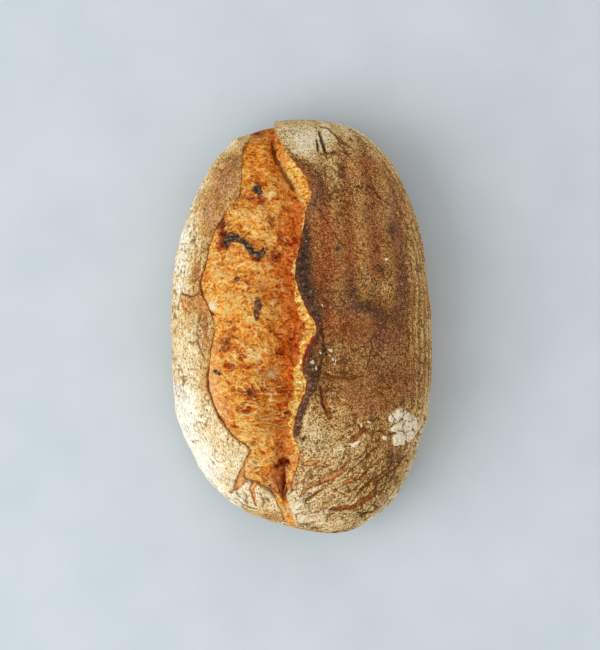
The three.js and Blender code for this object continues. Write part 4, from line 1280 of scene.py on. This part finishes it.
def onion_material():
    """Roasted onion: nearly black, with a browner tone where the strip is less burnt."""
    n = Nodes("onion")
    streaks, fine = n.noise(1.4, 3, stretch=(2, 1, 1)), n.noise(0.7, 2)
    tone = n.sum(streaks, n.around(fine, 0.5))
    black = n.ramp(tone, (0.3, 30, 17, 10), (0.46, 60, 42, 30), (0.58, 104, 82, 62), (0.72, 156, 130, 104))
    brown = n.ramp(tone, (0.3, 70, 34, 16), (0.5, 112, 66, 38), (0.7, 160, 112, 74))
    colour = n.blend(n.attribute("brown"), black, brown)
    return n.finish(colour, n.range(streaks, 0.3, 0.7, 0.45, 0.7), n.sum(streaks, fine), 0.35, 1.0, 0.2)


def table_material():
    """A pale, matt and slightly cloudy surface."""
    n = Nodes("table")
    cloudy, fine = n.noise(60, 2), n.noise(2.0, 2)
    colour = n.ramp(n.sum(cloudy, n.around(fine, 0.25)), (0.3, 199, 209, 217), (0.7, 207, 216, 223))
    return n.finish(colour, 0.85, fine, 0.02, 0.3, 0.2)


# ------------------------------------------------------------------ the pieces
def add_piece(parts, material):
    piece = build_mesh(*parts)
    piece.data.materials.append(material)
    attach(piece, "root")
    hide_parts("loaf")


add_piece(ear, crust_material("crust_ear_side", 1.2, 0.92, (92, 56, 28), 0.4, 0.45))
add_piece(heel, crust_material("crust_heel_side", 1.8, 0.82, (126, 86, 44), 1.0, 0.4))
add_piece(crumb, crumb_material())

# ------------------------------------------------------------------ the onion
CRUMB_POINTS = crumb[1][:, :-UNDER_COLUMNS].reshape(-1, 3)


def crumb_height(x, y):
    """The crumb's height at a place, among the higher points close to it."""
    near = np.hypot(CRUMB_POINTS[:, 0] - x, CRUMB_POINTS[:, 1] - y) < 1.2
    return float(np.percentile(CRUMB_POINTS[near, 2], 70))


def onion_rings(path, widths, thick, twist):
    """A flattened strip along a path on the crumb, turning as it goes."""
    path = np.array([(x, y, crumb_height(x, y)) for x, y in path])
    at = np.linspace(0, 1, len(path))
    t = np.linspace(0, 1, ONION_RINGS)
    line = np.stack([np.interp(t, at, path[:, n]) for n in range(3)], axis=-1)
    for _ in range(SMOOTHING_PASSES):
        line[1:-1] = (line[:-2] + 2 * line[1:-1] + line[2:]) / 4
    wide = np.interp(t, at, widths) * np.minimum(1, 2.2 * np.sqrt(np.maximum(np.sin(math.pi * t), 0.01)))
    ahead = np.gradient(line, axis=0)
    ahead /= np.linalg.norm(ahead, axis=1, keepdims=True)
    across = np.cross(ahead, [0, 0, 1.0])
    across /= np.linalg.norm(across, axis=1, keepdims=True)
    above = np.cross(across, ahead)
    lean = (np.radians(twist) * (t - 0.5) * 0.5)[:, None]
    side = across * np.cos(lean) + above * np.sin(lean)
    over = above * np.cos(lean) - across * np.sin(lean)
    turn = np.linspace(0, 2 * math.pi, ONION_SIDES, endpoint=False)
    curl = 0.4 * thick * np.cos(turn) ** 2
    flat = wide[:, None] / 2 * np.cos(turn)[None, :]
    tall = thick / 2 * np.sin(turn)[None, :] * np.minimum(1, wide / 2)[:, None] + curl[None, :]
    x, y = line[:, :1] + across[:, :1] * flat, line[:, 1:2] + across[:, 1:2] * flat
    tall = tall + 0.5 * noise(x / 1.7, y / 1.7, 3.5) + 0.3 * noise(x / 0.7, y / 0.7, np.sign(tall) + 5.5)
    edge = np.sign(np.cos(turn))[None, :]
    flat = flat * (1 + 0.3 * noise(line[:, :1] / 1.6 + 3, line[:, 1:2] / 1.6, edge * 3))
    line = line - [0, 0, 0.2 * thick]
    return line[:, None, :] + side[:, None, :] * flat[..., None] + over[:, None, :] * tall[..., None]


onion = onion_material()
onion_columns = 0.01 + 0.97 * np.arange(ONION_SIDES) / ONION_SIDES
for name, (path, widths, thick, twist, browned) in ONION_STRIPS.items():
    tones = {"brown": np.full((ONION_RINGS, ONION_SIDES), browned)}
    add_piece((name, onion_rings(path, widths, thick, twist), tones, onion_columns, ()), onion)

# ------------------------------------------------------------------ table, camera and light
IMAGE_WIDTH, IMAGE_HEIGHT = 600, 650
CAMERA_HEIGHT = 1100 * MM
PIXEL_SIZE = 0.608 * MM  # of the image, at the height of the loaf's girth
LOAF_CENTRE = (300.5, 326.5)  # the middle of the loaf in the image, in pixels
SENSOR_HEIGHT = 36.0
WINDOW_PLACE = (-2.15, -0.8, 1.95)  # of the light, in metres

bpy.ops.mesh.primitive_plane_add(size=6.0)
table = bpy.context.object
table.name = "table"
table.data.materials.append(table_material())

camera_data = bpy.data.cameras.new("camera")
camera = bpy.data.objects.new("camera", camera_data)
bpy.context.scene.collection.objects.link(camera)
bpy.context.scene.camera = camera
camera_data.sensor_fit = "VERTICAL"
camera_data.sensor_height = SENSOR_HEIGHT
camera_data.lens = SENSOR_HEIGHT * (CAMERA_HEIGHT - GIRTH_HEIGHT * MM) / (IMAGE_HEIGHT * PIXEL_SIZE)
camera.location = (
    (IMAGE_WIDTH / 2 - LOAF_CENTRE[0]) * PIXEL_SIZE + PLAN_SHIFT * MM,
    (LOAF_CENTRE[1] - IMAGE_HEIGHT / 2) * PIXEL_SIZE,
    CAMERA_HEIGHT,
)

light_data = bpy.data.lights.new("window", "AREA")
light_data.size = 2.6
light_data.energy = 56
light_data.color = (0.92, 0.975, 1.0)
light = bpy.data.objects.new("window", light_data)
light.location = WINDOW_PLACE
light.rotation_euler = (-Vector(WINDOW_PLACE)).to_track_quat("-Z", "Y").to_euler()
bpy.context.scene.collection.objects.link(light)

world = bpy.data.worlds.new("world")
world.use_nodes = True
world.node_tree.nodes["Background"].inputs["Color"].default_value = (1.0, 0.99, 0.96, 1.0)
world.node_tree.nodes["Background"].inputs["Strength"].default_value = 0.7
bpy.context.scene.world = world
bpy.context.scene.view_settings.view_transform = "Standard"
